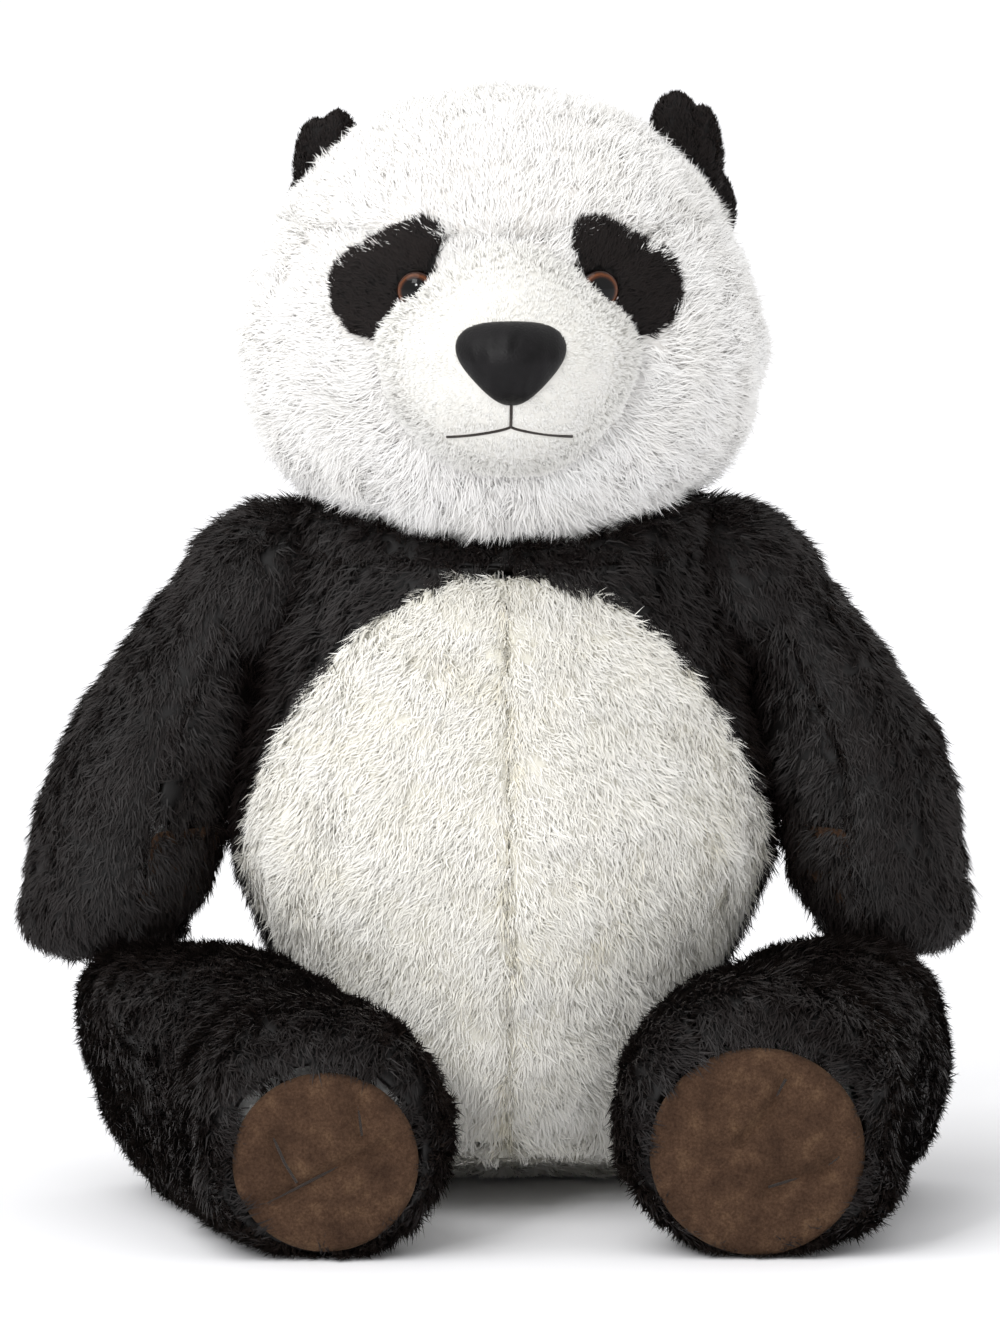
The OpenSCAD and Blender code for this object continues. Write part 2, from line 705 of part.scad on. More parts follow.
module leg_top(side, foot_x) {
    color(BLACK) both_sides(side)
        fabric(leg_surface(foot_x), function (v) leg_inner_high + limb_seam,
               function (v) leg_inner_low + 360 - limb_seam, leg_rows_v, 14, limb_fabric);
}

module leg_inner(side, foot_x) {
    color(BLACK) both_sides(side)
        fabric(leg_surface(foot_x), function (v) leg_inner_low + limb_seam,
               function (v) leg_inner_high - limb_seam, leg_rows_v, 6, limb_fabric);
}

module leg_stuffing(side, foot_x) {
    color(FILLING) both_sides(side)
        filling(leg_surface(foot_x), steps(0.13, 0.95, 9), 18, limb_fabric + fill_gap);
}

leg_end = leg_rows[len(leg_rows) - 1];
sole_wide = 1.03;
sole_radius = min(leg_end[2] * leg_width / sole_wide, leg_end[3] * thigh_height) / 2 - sole_margin;
function sole_middle(foot_x) = [mix(hip_x, foot_x, leg_end[1]),
    leg_end[3] * thigh_height / 2 - 1 + (0.96 - leg_end[3]) * 12];
sole_y = hip_y - leg_end[0] * leg_length - seam;
sole_dome = 5;

// Front of the sole at a sideways and upward distance from its middle
function sole_front(x, z) =
    sole_y - suede - sole_dome * sqrt(max(0, 1 - (x / (sole_wide * sole_radius)) ^ 2 - (z / sole_radius) ^ 2));

module sole_pad(side, foot_x) {
    middle = sole_middle(foot_x);
    around = 28;
    function ring(k, top) = [for (j = [0:around - 1])
        let (x = k * sole_wide * sole_radius * cos(360 * j / around), z = k * sole_radius * sin(360 * j / around))
        [middle[0] + x, top ? sole_front(x, z) : sole_y, middle[1] + z]];
    color(BROWN) both_sides(side)
        ring_solid([ring(0.4, false), ring(1, false), ring(1, true), ring(0.92, true), ring(0.7, true), ring(0.4, true)]);
}

// Two short toe lines that run down from the upper edge of the sole to a crease across it
module toe_stitch(side, foot_x) {
    middle = sole_middle(foot_x);
    function spot(x, z) = [middle[0] + x, sole_front(x, z) - thread / 2 - 2 * seam, middle[1] + z];
    r = sole_radius;
    color("#3a281d") both_sides(side) {
        for (toe = [-1, 1])
            thread_along([for (i = [0:4]) spot(toe * r * mix(0.46, 0.3, i / 4), r * mix(0.72, 0.32, i / 4))], thread / 2);
        thread_along([for (i = [-5:5]) spot(r * 0.78 * i / 5, r * (0.16 - 0.22 * (i / 5) ^ 2))], thread / 2);
    }
}

belly_panel(1);  // belly_panel_left
belly_panel(-1);  // belly_panel_right
side_panel(1);  // side_panel_left
side_panel(-1);  // side_panel_right
upper_back(1);  // upper_back_left
upper_back(-1);  // upper_back_right
rump_panel(1);  // rump_panel_left
rump_panel(-1);  // rump_panel_right
shoulder_yoke();
seat_panel();
tail();
back_closing_stitch();
body_stuffing();
weight_bag();
neck_gusset();
neck_stuffing();
cheek_panel(1);  // cheek_panel_left
cheek_panel(-1);  // cheek_panel_right
crown_panel();
head_back(1);  // head_back_left
head_back(-1);  // head_back_right
muzzle_panel(1);  // muzzle_panel_left
muzzle_panel(-1);  // muzzle_panel_right
chin_panel();
eye_patch(1);  // eye_patch_left
eye_patch(-1);  // eye_patch_right
safety_eye(1);  // safety_eye_left
safety_eye(-1);  // safety_eye_right
eye_washer(1);  // eye_washer_left
eye_washer(-1);  // eye_washer_right
nose();
mouth_stitch();
head_stuffing();
muzzle_stuffing();
ear_front(1);  // ear_front_left
ear_back(1);  // ear_back_left
ear_front(-1);  // ear_front_right
ear_back(-1);  // ear_back_right
arm_outer(1);  // arm_outer_left
arm_inner(1);  // arm_inner_left
paw_pad(1);  // paw_pad_left
arm_stuffing(1);  // arm_stuffing_left
arm_outer(-1);  // arm_outer_right
arm_inner(-1);  // arm_inner_right
paw_pad(-1);  // paw_pad_right
arm_stuffing(-1);  // arm_stuffing_right
leg_top(1, left_foot_x);  // leg_top_left
leg_inner(1, left_foot_x);  // leg_inner_left
sole_pad(1, left_foot_x);  // sole_pad_left
toe_stitch(1, left_foot_x);  // toe_stitch_left
leg_stuffing(1, left_foot_x);  // leg_stuffing_left
leg_top(-1, right_foot_x);  // leg_top_right
leg_inner(-1, right_foot_x);  // leg_inner_right
sole_pad(-1, right_foot_x);  // sole_pad_right
toe_stitch(-1, right_foot_x);  // toe_stitch_right
leg_stuffing(-1, right_foot_x);  // leg_stuffing_right
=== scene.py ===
# Seated plush panda: long pile fur over sewn panels, a shorn plush muzzle, suede pads, a leather
# nose and glossy safety eyes. Lengths in this script are in millimetres until a mesh is made.
import math

import bpy
import numpy as np
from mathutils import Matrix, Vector


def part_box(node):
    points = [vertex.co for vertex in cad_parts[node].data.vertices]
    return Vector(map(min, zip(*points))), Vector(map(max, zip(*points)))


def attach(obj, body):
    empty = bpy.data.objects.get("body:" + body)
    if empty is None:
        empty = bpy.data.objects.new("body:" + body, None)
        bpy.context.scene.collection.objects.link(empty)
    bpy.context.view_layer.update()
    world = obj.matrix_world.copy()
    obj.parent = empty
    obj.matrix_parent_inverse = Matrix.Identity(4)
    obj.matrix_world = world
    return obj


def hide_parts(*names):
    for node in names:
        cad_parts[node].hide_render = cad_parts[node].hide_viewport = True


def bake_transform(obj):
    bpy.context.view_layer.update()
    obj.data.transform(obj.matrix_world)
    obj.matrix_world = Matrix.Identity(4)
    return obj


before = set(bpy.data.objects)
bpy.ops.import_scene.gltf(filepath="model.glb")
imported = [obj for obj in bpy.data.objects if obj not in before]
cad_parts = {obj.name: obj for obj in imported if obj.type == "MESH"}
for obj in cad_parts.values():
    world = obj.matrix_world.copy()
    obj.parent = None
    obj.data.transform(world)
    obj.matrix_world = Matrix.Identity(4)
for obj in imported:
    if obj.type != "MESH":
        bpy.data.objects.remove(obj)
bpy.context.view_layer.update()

MM = 0.001


# ---- Small tools ----


def linear(code):
    """sRGB hex to linear red, green, blue and alpha."""
    parts = [int(code[i : i + 2], 16) / 255 for i in (1, 3, 5)]
    return tuple(p / 12.92 if p <= 0.04045 else ((p + 0.055) / 1.055) ** 2.4 for p in parts) + (1.0,)


def add_node(material, kind, inputs=None, **settings):
    """Adds a node; each input is a value or another node's output."""
    node = material.node_tree.nodes.new(kind)
    for key, value in settings.items():
        setattr(node, key, value)
    for key, value in (inputs or {}).items():
        if isinstance(value, bpy.types.NodeSocket):
            material.node_tree.links.new(value, node.inputs[key])
        else:
            node.inputs[key].default_value = value
    return node


def new_material(name, **shader_inputs):
    """An empty material with one Principled shader, and that shader."""
    material = bpy.data.materials.new(name)
    material.use_nodes = True
    shader = material.node_tree.nodes["Principled BSDF"]
    for key, value in shader_inputs.items():
        shader.inputs[key.replace("_", " ")].default_value = value
    return material, shader


def set_ramp(node, stops):
    """Fills a colour ramp with (place, hex colour) stops."""
    elements = node.color_ramp.elements
    while len(elements) < len(stops):
        elements.new(0.5)
    for element, (place, code) in zip(elements, stops):
        element.position = place
        element.color = linear(code)
    return node


def join_links(material, output, target):
    material.node_tree.links.new(output, target)


def only(obj):
    """Selects one object and makes it active."""
    bpy.ops.object.select_all(action="DESELECT")
    obj.select_set(True)
    bpy.context.view_layer.objects.active = obj
    return obj


def apply_all(obj):
    only(obj)
    for modifier in list(obj.modifiers):
        bpy.ops.object.modifier_apply(modifier=modifier.name)
    return obj


def unit(v):
    return v / np.maximum(np.linalg.norm(v, axis=-1, keepdims=True), 1e-9)


def ripple(points, wavelength, seed, waves=7):
    """Smooth random value, about -1 to 1, that changes over a length in mm."""
    rng = np.random.default_rng(seed)
    heading = unit(rng.normal(size=(waves, 3))) * rng.uniform(0.7, 1.4, (waves, 1))
    turns = points @ heading.T * (2 * math.pi / wavelength) + rng.uniform(0, 2 * math.pi, waves)
    return np.sin(turns).sum(1) / math.sqrt(waves)


def smooth(t):
    """Eased step: 0 below 0, 1 above 1."""
    t = np.clip(t, 0, 1)
    return t * t * (3 - 2 * t)


def bell(value, middle, reach):
    """1 at the middle, falling away on both sides over the reach."""
    return np.exp(-(((value - middle) / reach) ** 2))


def dress(piece, material):
    """Gives a piece one material in place of any others."""
    piece.data.materials.clear()
    piece.data.materials.append(material)
    return piece


# ---- Materials ----


def pile_material(name, along, shades, roughness, sheen, sheen_tint, specular):
    """Fur: its own map runs from root to tip on V, and from strand shade to strand shade on U."""
    material, shader = new_material(
        name,
        Roughness=roughness,
        Sheen_Weight=sheen,
        Sheen_Roughness=0.45,
        Sheen_Tint=linear(sheen_tint),
        Specular_IOR_Level=specular,
    )
    strand_map = add_node(material, "ShaderNodeUVMap", uv_map="OFBake")
    place = add_node(material, "ShaderNodeSeparateXYZ", {"Vector": strand_map.outputs["UV"]})
    # Root to tip: each pile's own tint, darker towards the root as painted shade deep in the pile
    colour = set_ramp(add_node(material, "ShaderNodeValToRGB", {"Fac": place.outputs["Y"]}), along)
    shade = set_ramp(add_node(material, "ShaderNodeValToRGB", {"Fac": place.outputs["X"]}), shades)
    tinted = add_node(material, "ShaderNodeMixRGB",
                      {"Fac": 1.0, "Color1": colour.outputs["Color"], "Color2": shade.outputs["Color"]},
                      blend_type="MULTIPLY")
    join_links(material, tinted.outputs[0], shader.inputs["Base Color"])
    return material


# White acrylic faux fur: bright, a little cream at the root, the roots painted darker as shade deep in the pile
# and the tips lighter
white_pile = pile_material(
    "white_acrylic_long_pile",
    [(0.0, "#efedea"), (0.3, "#f6f5f3"), (1.0, "#fdfdfc")],
    [(0.0, "#f4f3f0"), (0.5, "#fcfbfa"), (1.0, "#ffffff")],
    0.75, 0.15, "#ffffff", 0.3,
)
# Belly fur of the same pile, creamier than the head, its roots also painted darker as shade deep in the pile
cream_pile = pile_material(
    "cream_acrylic_long_pile",
    [(0.0, "#e9e7de"), (0.3, "#f3f1eb"), (1.0, "#fbfaf7")],
    [(0.0, "#f5f0df"), (0.25, "#fbfaf6"), (1.0, "#ffffff")],
    0.75, 0.12, "#ffffff", 0.3,
)
# Black acrylic faux fur: brown black, with a dull grey brown light on the combed strands; the roots are painted
# darker as shade deep in the pile, the browner tips are the fur's own colour
black_pile = pile_material(
    "black_acrylic_long_pile",
    [(0.0, "#0a0707"), (0.5, "#15100f"), (1.0, "#231a19")],
    [(0.0, "#8f8684"), (0.6, "#d6cfcc"), (1.0, "#ffffff")],
    0.55, 0.08, "#8a7468", 0.35,
)
# Shorn black pile, its roots painted darker as shade deep in the pile
black_short = pile_material(
    "black_shorn_pile",
    [(0.0, "#0b0808"), (0.5, "#171211"), (1.0, "#261d1b")],
    [(0.0, "#9a9290"), (0.6, "#d6cfcc"), (1.0, "#ffffff")],
    0.7, 0.1, "#8a7468", 0.25,
)
# Shorn white plush, its roots painted darker as shade deep in the pile
white_short = pile_material(
    "white_shorn_plush",
    [(0.0, "#e8e6e2"), (0.5, "#f3f2ef"), (1.0, "#fbfaf9")],
    [(0.0, "#f5f4f2"), (0.5, "#fafaf8"), (1.0, "#ffffff")],
    0.85, 0.2, "#ffffff", 0.2,
)


def suede_material():
    """Brushed imitation suede: matt brown nap with lighter brushed patches and a fine grain."""
    material, shader = new_material(
        "brown_brushed_suede", Roughness=0.95, Sheen_Weight=0.35, Sheen_Roughness=0.5,
        Sheen_Tint=linear("#93785f"), Specular_IOR_Level=0.15,
    )
    place = add_node(material, "ShaderNodeTexCoord")
    brushed = add_node(material, "ShaderNodeTexNoise",
                       {"Vector": place.outputs["Object"], "Scale": 90.0, "Detail": 5.0, "Roughness": 0.65})
    grain = add_node(material, "ShaderNodeTexNoise",
                     {"Vector": place.outputs["Object"], "Scale": 900.0, "Detail": 3.0, "Roughness": 0.7})
    base = set_ramp(add_node(material, "ShaderNodeValToRGB", {"Fac": brushed.outputs["Fac"]}),
                    [(0.3, "#3c2b20"), (0.55, "#4f3b2d"), (0.75, "#66503d")])
    nap = set_ramp(add_node(material, "ShaderNodeValToRGB", {"Fac": grain.outputs["Fac"]}),
                   [(0.3, "#b3a79f"), (0.7, "#ffffff")])
    mixed = add_node(material, "ShaderNodeMixRGB",
                     {"Fac": 1.0, "Color1": base.outputs["Color"], "Color2": nap.outputs["Color"]},
                     blend_type="MULTIPLY")
    join_links(material, mixed.outputs[0], shader.inputs["Base Color"])
    bump = add_node(material, "ShaderNodeBump",
                    {"Strength": 0.5, "Distance": 0.0004, "Height": grain.outputs["Fac"]})
    join_links(material, bump.outputs["Normal"], shader.inputs["Normal"])
    return material


def leather_material():
    """Soft imitation leather: near black, satin, with a fine pebble and long soft creases."""
    material, shader = new_material("black_nose_leather", Roughness=0.3, Specular_IOR_Level=0.18)
    place = add_node(material, "ShaderNodeTexCoord")
    pebble = add_node(material, "ShaderNodeTexVoronoi",
                      {"Vector": place.outputs["Object"], "Scale": 1100.0}, feature="SMOOTH_F1")
    cloud = add_node(material, "ShaderNodeTexNoise",
                     {"Vector": place.outputs["Object"], "Scale": 140.0, "Detail": 4.0, "Roughness": 0.6})
    colour = set_ramp(add_node(material, "ShaderNodeValToRGB", {"Fac": cloud.outputs["Fac"]}),
                      [(0.3, "#060506"), (0.7, "#121012")])
    join_links(material, colour.outputs["Color"], shader.inputs["Base Color"])
    worn = add_node(material, "ShaderNodeMapRange",
                    {"Value": cloud.outputs["Fac"], "From Min": 0.3, "From Max": 0.7,
                     "To Min": 0.34, "To Max": 0.52})
    join_links(material, worn.outputs["Result"], shader.inputs["Roughness"])
    bump = add_node(material, "ShaderNodeBump",
                    {"Strength": 0.35, "Distance": 0.0003, "Height": pebble.outputs["Distance"]})
    join_links(material, bump.outputs["Normal"], shader.inputs["Normal"])
    return material


suede = suede_material()
leather = leather_material()


# ---- Panels: each takes its shape from its own node, rounded and smoothed ----


def reshape(piece, shape):
    """Moves every vertex to shape(place), both in mm."""
    mesh = piece.data
    place = np.empty(len(mesh.vertices) * 3, np.float32)
    mesh.vertices.foreach_get("co", place)
    moved = shape(place.reshape(-1, 3).astype(float) / MM) * MM
    mesh.vertices.foreach_set("co", moved.astype(np.float32).ravel())
    mesh.update()
    return piece


def panel_mesh(name, node, levels=2, crease=0.35, shape=None):
    """A copy of a sewn panel's solid, made of quads and smoothed, with softly rounded edges."""
    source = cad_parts[node]
    piece = bpy.data.objects.new(name, source.data.copy())
    bpy.context.scene.collection.objects.link(piece)
    only(piece)
    bpy.ops.object.mode_set(mode="EDIT")
    bpy.ops.mesh.select_all(action="SELECT")
    bpy.ops.mesh.remove_doubles(threshold=0.00002)
    bpy.ops.mesh.tris_convert_to_quads(face_threshold=math.radians(40), shape_threshold=math.radians(60))
    bpy.ops.mesh.select_all(action="DESELECT")
    bpy.ops.mesh.select_mode(type="EDGE")
    bpy.ops.mesh.edges_select_sharp(sharpness=math.radians(50))
    bpy.ops.transform.edge_crease(value=crease)
    bpy.ops.object.mode_set(mode="OBJECT")
    rounding = piece.modifiers.new("rounding", "SUBSURF")
    rounding.levels = rounding.render_levels = levels
    apply_all(piece)
    bpy.ops.object.shade_smooth()
    if shape is not None:
        reshape(piece, shape)
    return piece


def mesh_arrays(piece):
    """Vertices in mm, vertex normals and triangles of a mesh."""
    mesh = piece.data
    count = len(mesh.vertices)
    place = np.empty(count * 3, np.float32)
    mesh.vertices.foreach_get("co", place)
    normal = np.empty(count * 3, np.float32)
    mesh.vertices.foreach_get("normal", normal)
    mesh.calc_loop_triangles()
    corner = np.empty(len(mesh.loop_triangles) * 3, np.int32)
    mesh.loop_triangles.foreach_get("vertices", corner)
    return place.reshape(-1, 3).astype(float) / MM, normal.reshape(-1, 3).astype(float), corner.reshape(-1, 3)


def outward_from(core):
    """Direction away from a core line, given by its two ends."""
    a, b = (np.array(end, float) for end in core)

    def outward(points):
        line = b - a
        along = np.clip((points - a) @ line / max(line @ line, 1e-6), 0, 1)
        return unit(points - a - along[:, None] * line)

    return outward


def turned(direction, about, angle):
    """direction turned about the unit vectors about, by angle in radians."""
    c, s = np.cos(angle)[..., None], np.sin(angle)[..., None]
    along = (about * direction).sum(-1, keepdims=True)
    return direction * c + np.cross(about, direction) * s + about * along * (1 - c)


def grow(place, normal, corner, seed, comb, density, length, lift, width=0.75, tuft=12, spread=3.4,
         gather=0.4, swirl=0.35, sink=3.0, unruly=0.3, bare=None, tint=None):
    """Strands of pile in tufts on a surface: positions, normals and shade of four points a strand."""
    rng = np.random.default_rng(seed)
    tri = place[corner]
    area = np.linalg.norm(np.cross(tri[:, 1] - tri[:, 0], tri[:, 2] - tri[:, 0]), axis=1) / 2
    tufts = max(1, int(area.sum() * density / tuft))
    pick = rng.choice(len(area), tufts, p=area / area.sum())
    mixed = rng.dirichlet((1, 1, 1), tufts)[..., None]
    at = (tri[pick] * mixed).sum(1)
    out = unit((normal[corner][pick] * mixed).sum(1))
    flow = comb(at, out)
    flow = unit(flow - (flow * out).sum(1, keepdims=True) * out)
    flow = turned(flow, out, swirl * ripple(at, 38, seed) + unruly * rng.normal(size=tufts))
    long = length(at) if callable(length) else np.full(tufts, float(length))
    long = long * (1 + 0.10 * ripple(at, 26, seed + 1)) * rng.uniform(0.86, 1.1, tufts)
    rise = np.radians(lift) * (1 + 0.22 * ripple(at, 24, seed + 2) + 0.12 * rng.normal(size=tufts))

    def strand(values):
        return np.repeat(values, tuft, axis=0)

    count = tufts * tuft
    at, out, flow, long, rise = map(strand, (at, out, flow, long, rise))
    side = np.cross(out, flow)
    reach = spread * np.sqrt(rng.uniform(size=count))
    turn = rng.uniform(0, 2 * math.pi, count)
    foot = (reach * np.cos(turn))[:, None] * flow + (reach * np.sin(turn))[:, None] * side
    long = long * rng.uniform(0.68, 1.1, count)
    heading = turned(flow, out, rng.normal(0, 0.3, count))
    steep = np.clip(rise + rng.normal(0, 0.12, count), 0.05, 1.5)
    root = at + foot - sink * out

    def lean(angle, share):
        return share * long[:, None] * (np.cos(angle)[:, None] * heading + np.sin(angle)[:, None] * out)

    middle = root + lean(np.clip(steep + 0.45, 0, 1.5), 0.5) - 0.4 * gather * foot
    tip = middle + lean(np.clip(steep - 0.3, -0.1, 1.5), 0.5) - 0.6 * gather * foot
    direction = unit(tip - root)
    across = unit(np.cross(direction, out) + 1e-6)
    across = turned(across, direction, rng.normal(0, 0.5, count))
    half = (width / 2 * rng.uniform(0.7, 1.2, count))[:, None] * across
    points = np.stack([root, middle - half, middle + half, tip], 1)
    if bare is not None:
        grown = ~(bare(at + foot, 0.0) | bare(middle, 1.0) | bare(tip, 2.0))
        points, across, direction, out = points[grown], across[grown], direction[grown], out[grown]
    else:
        grown = np.ones(count, bool)
    facing = unit(np.cross(across, direction))
    shine = unit(0.8 * out + 0.45 * facing)
    normals = np.repeat(shine[:, None], 4, axis=1)
    shade = 0.55 + 0.16 * strand(ripple(at[::tuft], 30, seed + 3)) + 0.13 * rng.normal(size=count)
    if tint is not None:
        shade += tint(at)
    return points.reshape(-1, 3), normals.reshape(-1, 3), np.clip(shade, 0.03, 0.97)[grown]


def furnish(piece, strands, material):
    """Joins strands to a panel's own cloth in one mesh, with the map that the pile material reads."""
    place, normal, _ = mesh_arrays(piece)
    mesh = piece.data
    counts = np.empty(len(mesh.polygons), np.int32)
    mesh.polygons.foreach_get("loop_total", counts)
    cloth_loops = np.empty(len(mesh.loops), np.int32)
    mesh.loops.foreach_get("vertex_index", cloth_loops)
    points = np.concatenate([s[0] for s in strands])
    normals = np.concatenate([s[1] for s in strands])
    shade = np.concatenate([s[2] for s in strands])
    # Strands that would go through the floor lie on it instead
    floor_gap = 0.6
    low = points[:, 2] < floor_gap
    points[low, 2] = floor_gap + 0.8 * np.abs(np.sin(points[low, 0] * 3.7 + points[low, 1] * 5.1))
    first = len(place) + 4 * np.arange(len(shade))
    blade = np.array([0, 2, 1, 1, 2, 3])
    loops = np.concatenate([cloth_loops, (first[:, None] + blade).ravel().astype(np.int32)])
    totals = np.concatenate([counts, np.full(2 * len(shade), 3, np.int32)])
    made = bpy.data.meshes.new(piece.name)
    made.vertices.add(len(place) + len(points))
    made.vertices.foreach_set("co", (np.concatenate([place, points]) * MM).astype(np.float32).ravel())
    made.loops.add(len(loops))
    made.loops.foreach_set("vertex_index", loops)
    made.polygons.add(len(totals))
    made.polygons.foreach_set("loop_start", np.concatenate([[0], np.cumsum(totals)[:-1]]).astype(np.int32))
    made.polygons.foreach_set("use_smooth", np.ones(len(totals), bool))
    made.update(calc_edges=True)
    strand_map = made.uv_layers.new(name="OFBake")
    # The cloth takes the colour of the roots, their painted shade included; its faces share one small square of
    # the map
    cloth_place = place[cloth_loops]
    cloth_uv = np.stack([0.45 + 0.1 * (cloth_place[:, 0] % 40) / 40,
                         0.02 + 0.05 * (cloth_place[:, 2] % 40) / 40], 1)
    du = 0.012
    corner_u = np.array([0, 1, -1, -1, 1, 0]) * du
    corner_v = np.array([0.08, 0.5, 0.5, 0.5, 0.5, 0.96])
    blade_uv = np.stack([shade[:, None] * 0.94 + 0.03 + corner_u, np.broadcast_to(corner_v, (len(shade), 6))], 2)
    all_uv = np.concatenate([cloth_uv, blade_uv.reshape(-1, 2)])
    strand_map.data.foreach_set("uv", all_uv.astype(np.float32).ravel())
    made.normals_split_custom_set_from_vertices(np.concatenate([normal, normals]).astype(np.float32))
    made.materials.append(material)
    old = piece.data
    piece.data = made
    bpy.data.meshes.remove(old)
    return piece


def finish_piece(piece, body, slot, *nodes):
    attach(piece, body)
    if nodes:
        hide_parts(*nodes)
    return piece


def fur_panel(name, node, body, slot, material, outward, seed, comb, shape=None, **pile):
    """One sewn panel with its pile grown from the faces that look outwards."""
    piece = panel_mesh(name, node, shape=shape)
    place, normal, corner = mesh_arrays(piece)
    middle = place[corner].mean(1)
    facing = unit(normal[corner].mean(1))
    shown = (facing * outward(middle)).sum(1) > 0.12
    strands = grow(place, normal, corner[shown], seed, comb, **pile)
    furnish(piece, [strands], material)
    return finish_piece(piece, body, slot, node)


def arm_outwards(sign):
    return outward_from(([sign * 118, 2, 235], [sign * 146, -6, 145]))


# ---- The way the pile is combed ----


def combed(x, y, z):
    """The same direction all over, mirrored with the side of the body for x."""
    def comb(at, out):
        side = np.sign(at[:, :1] + 1e-6)
        return np.concatenate([side * x, np.full_like(side, y), np.full_like(side, z)], 1)
    return comb


def leg_comb(sign):
    """Forwards and down along the leg, and in over the edge of the sole."""
    middle = np.array([96.0 if sign > 0 else -76.0, -190, 41])
    along = combed(0.3, -0.8, -0.25)

    def comb(at, out):
        inward = unit((middle - at) * [1, 0, 1])
        front = smooth((-out[:, 1:2] - 0.35) / 0.3) * smooth((-165 - at[:, 1:2]) / 15)
        return along(at, out) * (1 - front) + inward * front
    return comb


def face_comb(at, out):
    """Away from the muzzle over the face, then down over the back of the head."""
    away = unit(at - np.array([0, -110, 352.0]))
    down = np.array([0, 0, -1.0])
    behind = np.clip((at[:, 1:2] + 10) / 60, 0, 1)
    return away * (1 - behind) + down * behind


# ---- The face: its surface, the eye patches and the muzzle share these shapes ----

HEAD_CENTRE = 350.0  # height at which the head turns and nods
HEAD_WIDE, HEAD_DEEP = 99, 84.8  # half width and half depth where the head is widest
HEAD_WIDEST, HEAD_BELOW, HEAD_ABOVE = -10, 76, 106  # that height, and its reach down and up
EYE = np.array([36.5, 375.5])  # middle of an eye, across and up
PATCH_LOW, PATCH_HIGH = EYE + [14, -6], EYE + [-4, 16]
PATCH_RADII = (18.0, 7.2)
MUZZLE_WIDTH, MUZZLE_RISE, MUZZLE_DROP, MUZZLE_DEPTH = 100.0, 39.0, 50.0, 40.0
NOSE_UP = 353.0


def head_half(h, size):
    """Half size of the head at a height above the turning centre."""
    low = size * np.sqrt(np.maximum(0, 1 - ((HEAD_WIDEST - h) / HEAD_BELOW) ** 2))
    above = np.maximum(h - HEAD_WIDEST, 0) / HEAD_ABOVE
    high = size * np.maximum(0, 1 - above**2.2) ** (1 / 2.2)
    return np.where(h < HEAD_WIDEST, low, high)


def face_y(x, h):
    """Depth of the face at a place across and above the turning centre."""
    return -head_half(h, HEAD_DEEP) * np.sqrt(np.maximum(0, 1 - (x / head_half(h, HEAD_WIDE)) ** 2))


def bridge(w):
    """The muzzle's width narrows towards the bridge of the nose."""
    return 1 - 0.38 * np.maximum(0, np.sin(w)) ** 1.5


def muzzle_at(k, w):
    """Point of the muzzle at a share k from its middle, in the direction w."""
    x = k * MUZZLE_WIDTH / 2 * bridge(w) * np.cos(w)
    z = k * np.where(np.sin(w) > 0, MUZZLE_RISE, MUZZLE_DROP) * np.sin(w)
    steep = 0.55 + 0.5 * np.maximum(0, np.sin(w))
    y = face_y(x, z + 3) - 3.2 - MUZZLE_DEPTH * np.maximum(0, 1 - k**2.2) ** steep
    return np.stack([x, y, z + NOSE_UP], -1)


def muzzle_place(x, z):
    """Share and direction of a place on the muzzle, z above the middle of the nose."""
    tall = np.where(z > 0, MUZZLE_RISE, MUZZLE_DROP)
    w = np.full(np.shape(x), 0.8)
    for _ in range(14):
        w = np.arctan2(z / tall, x / (MUZZLE_WIDTH / 2 * bridge(w)))
    return np.hypot(x / (MUZZLE_WIDTH / 2 * bridge(w)), z / tall), w


def on_patch(x, z, margin):
    """True inside an eye patch made smaller by margin."""
    a, b = PATCH_LOW, PATCH_HIGH
    px, pz = np.abs(x) - a[0], z - a[1]
    line = b - a
    t = np.clip((px * line[0] + pz * line[1]) / (line @ line), 0, 1)
    radius = PATCH_RADII[0] + (PATCH_RADII[1] - PATCH_RADII[0]) * t
    return np.hypot(px - t * line[0], pz - t * line[1]) < radius - margin


def bare_face(points, margin):
    """Where the long white pile doesn't grow or reach: the eye patches and the muzzle."""
    x, y, z = points.T
    share, _ = muzzle_place(x, z - NOSE_UP)
    return (y < -20) & (on_patch(x, z, 1 + 1.3 * margin) | (share < 0.97 - 0.035 * margin))


def bare_eye(points, margin):
    """Where the patch's pile doesn't grow or reach: the eye and the muzzle."""
    x, y, z = points.T
    share, _ = muzzle_place(x, z - NOSE_UP)
    return (np.hypot(np.abs(x) - EYE[0], z - EYE[1]) < 7.4) | (share < 0.99)


def full_jowls(p):
    """The cheeks are fuller at the sides and hang over the shoulders, a little forward."""
    q = p.copy()
    low = bell(p[:, 2], 299, 20)
    q[:, 0] *= 1 + 0.055 * low + 0.045 * bell(p[:, 2], 348, 26)
    q[:, 1] *= 1 + 0.04 * low * (p[:, 1] < 0)
    return q


def sunk_seat(p):
    """The panda leans on the back of its seat: the belly's underside hangs clear in front."""
    q = p.copy()
    front = smooth((29 - p[:, 1]) / 60)
    low = smooth((75 - p[:, 2]) / 75)
    q[:, 2] += front * (0.14 * (29 - p[:, 1]) + 7) * low
    q[:, :2] *= 1 - 0.05 * (low * front)[:, None]
    return q


SOLE = {1: (1.16, 1.16), -1: (1.0, 1.04)}  # growth of a sole and of the foot round it


def foot_grown(p, sign, growth):
    """A foot made larger about the middle of its sole, kept on the floor."""
    q = p.copy()
    front = smooth((-95 - p[:, 1]) / 55)
    scale = 1 + (growth - 1) * front
    q[:, 0] = sign * (96.3 if sign > 0 else 75.9) * (1 - scale) + q[:, 0] * scale
    q[:, 2] = 2 + (q[:, 2] - 2) * scale
    return q


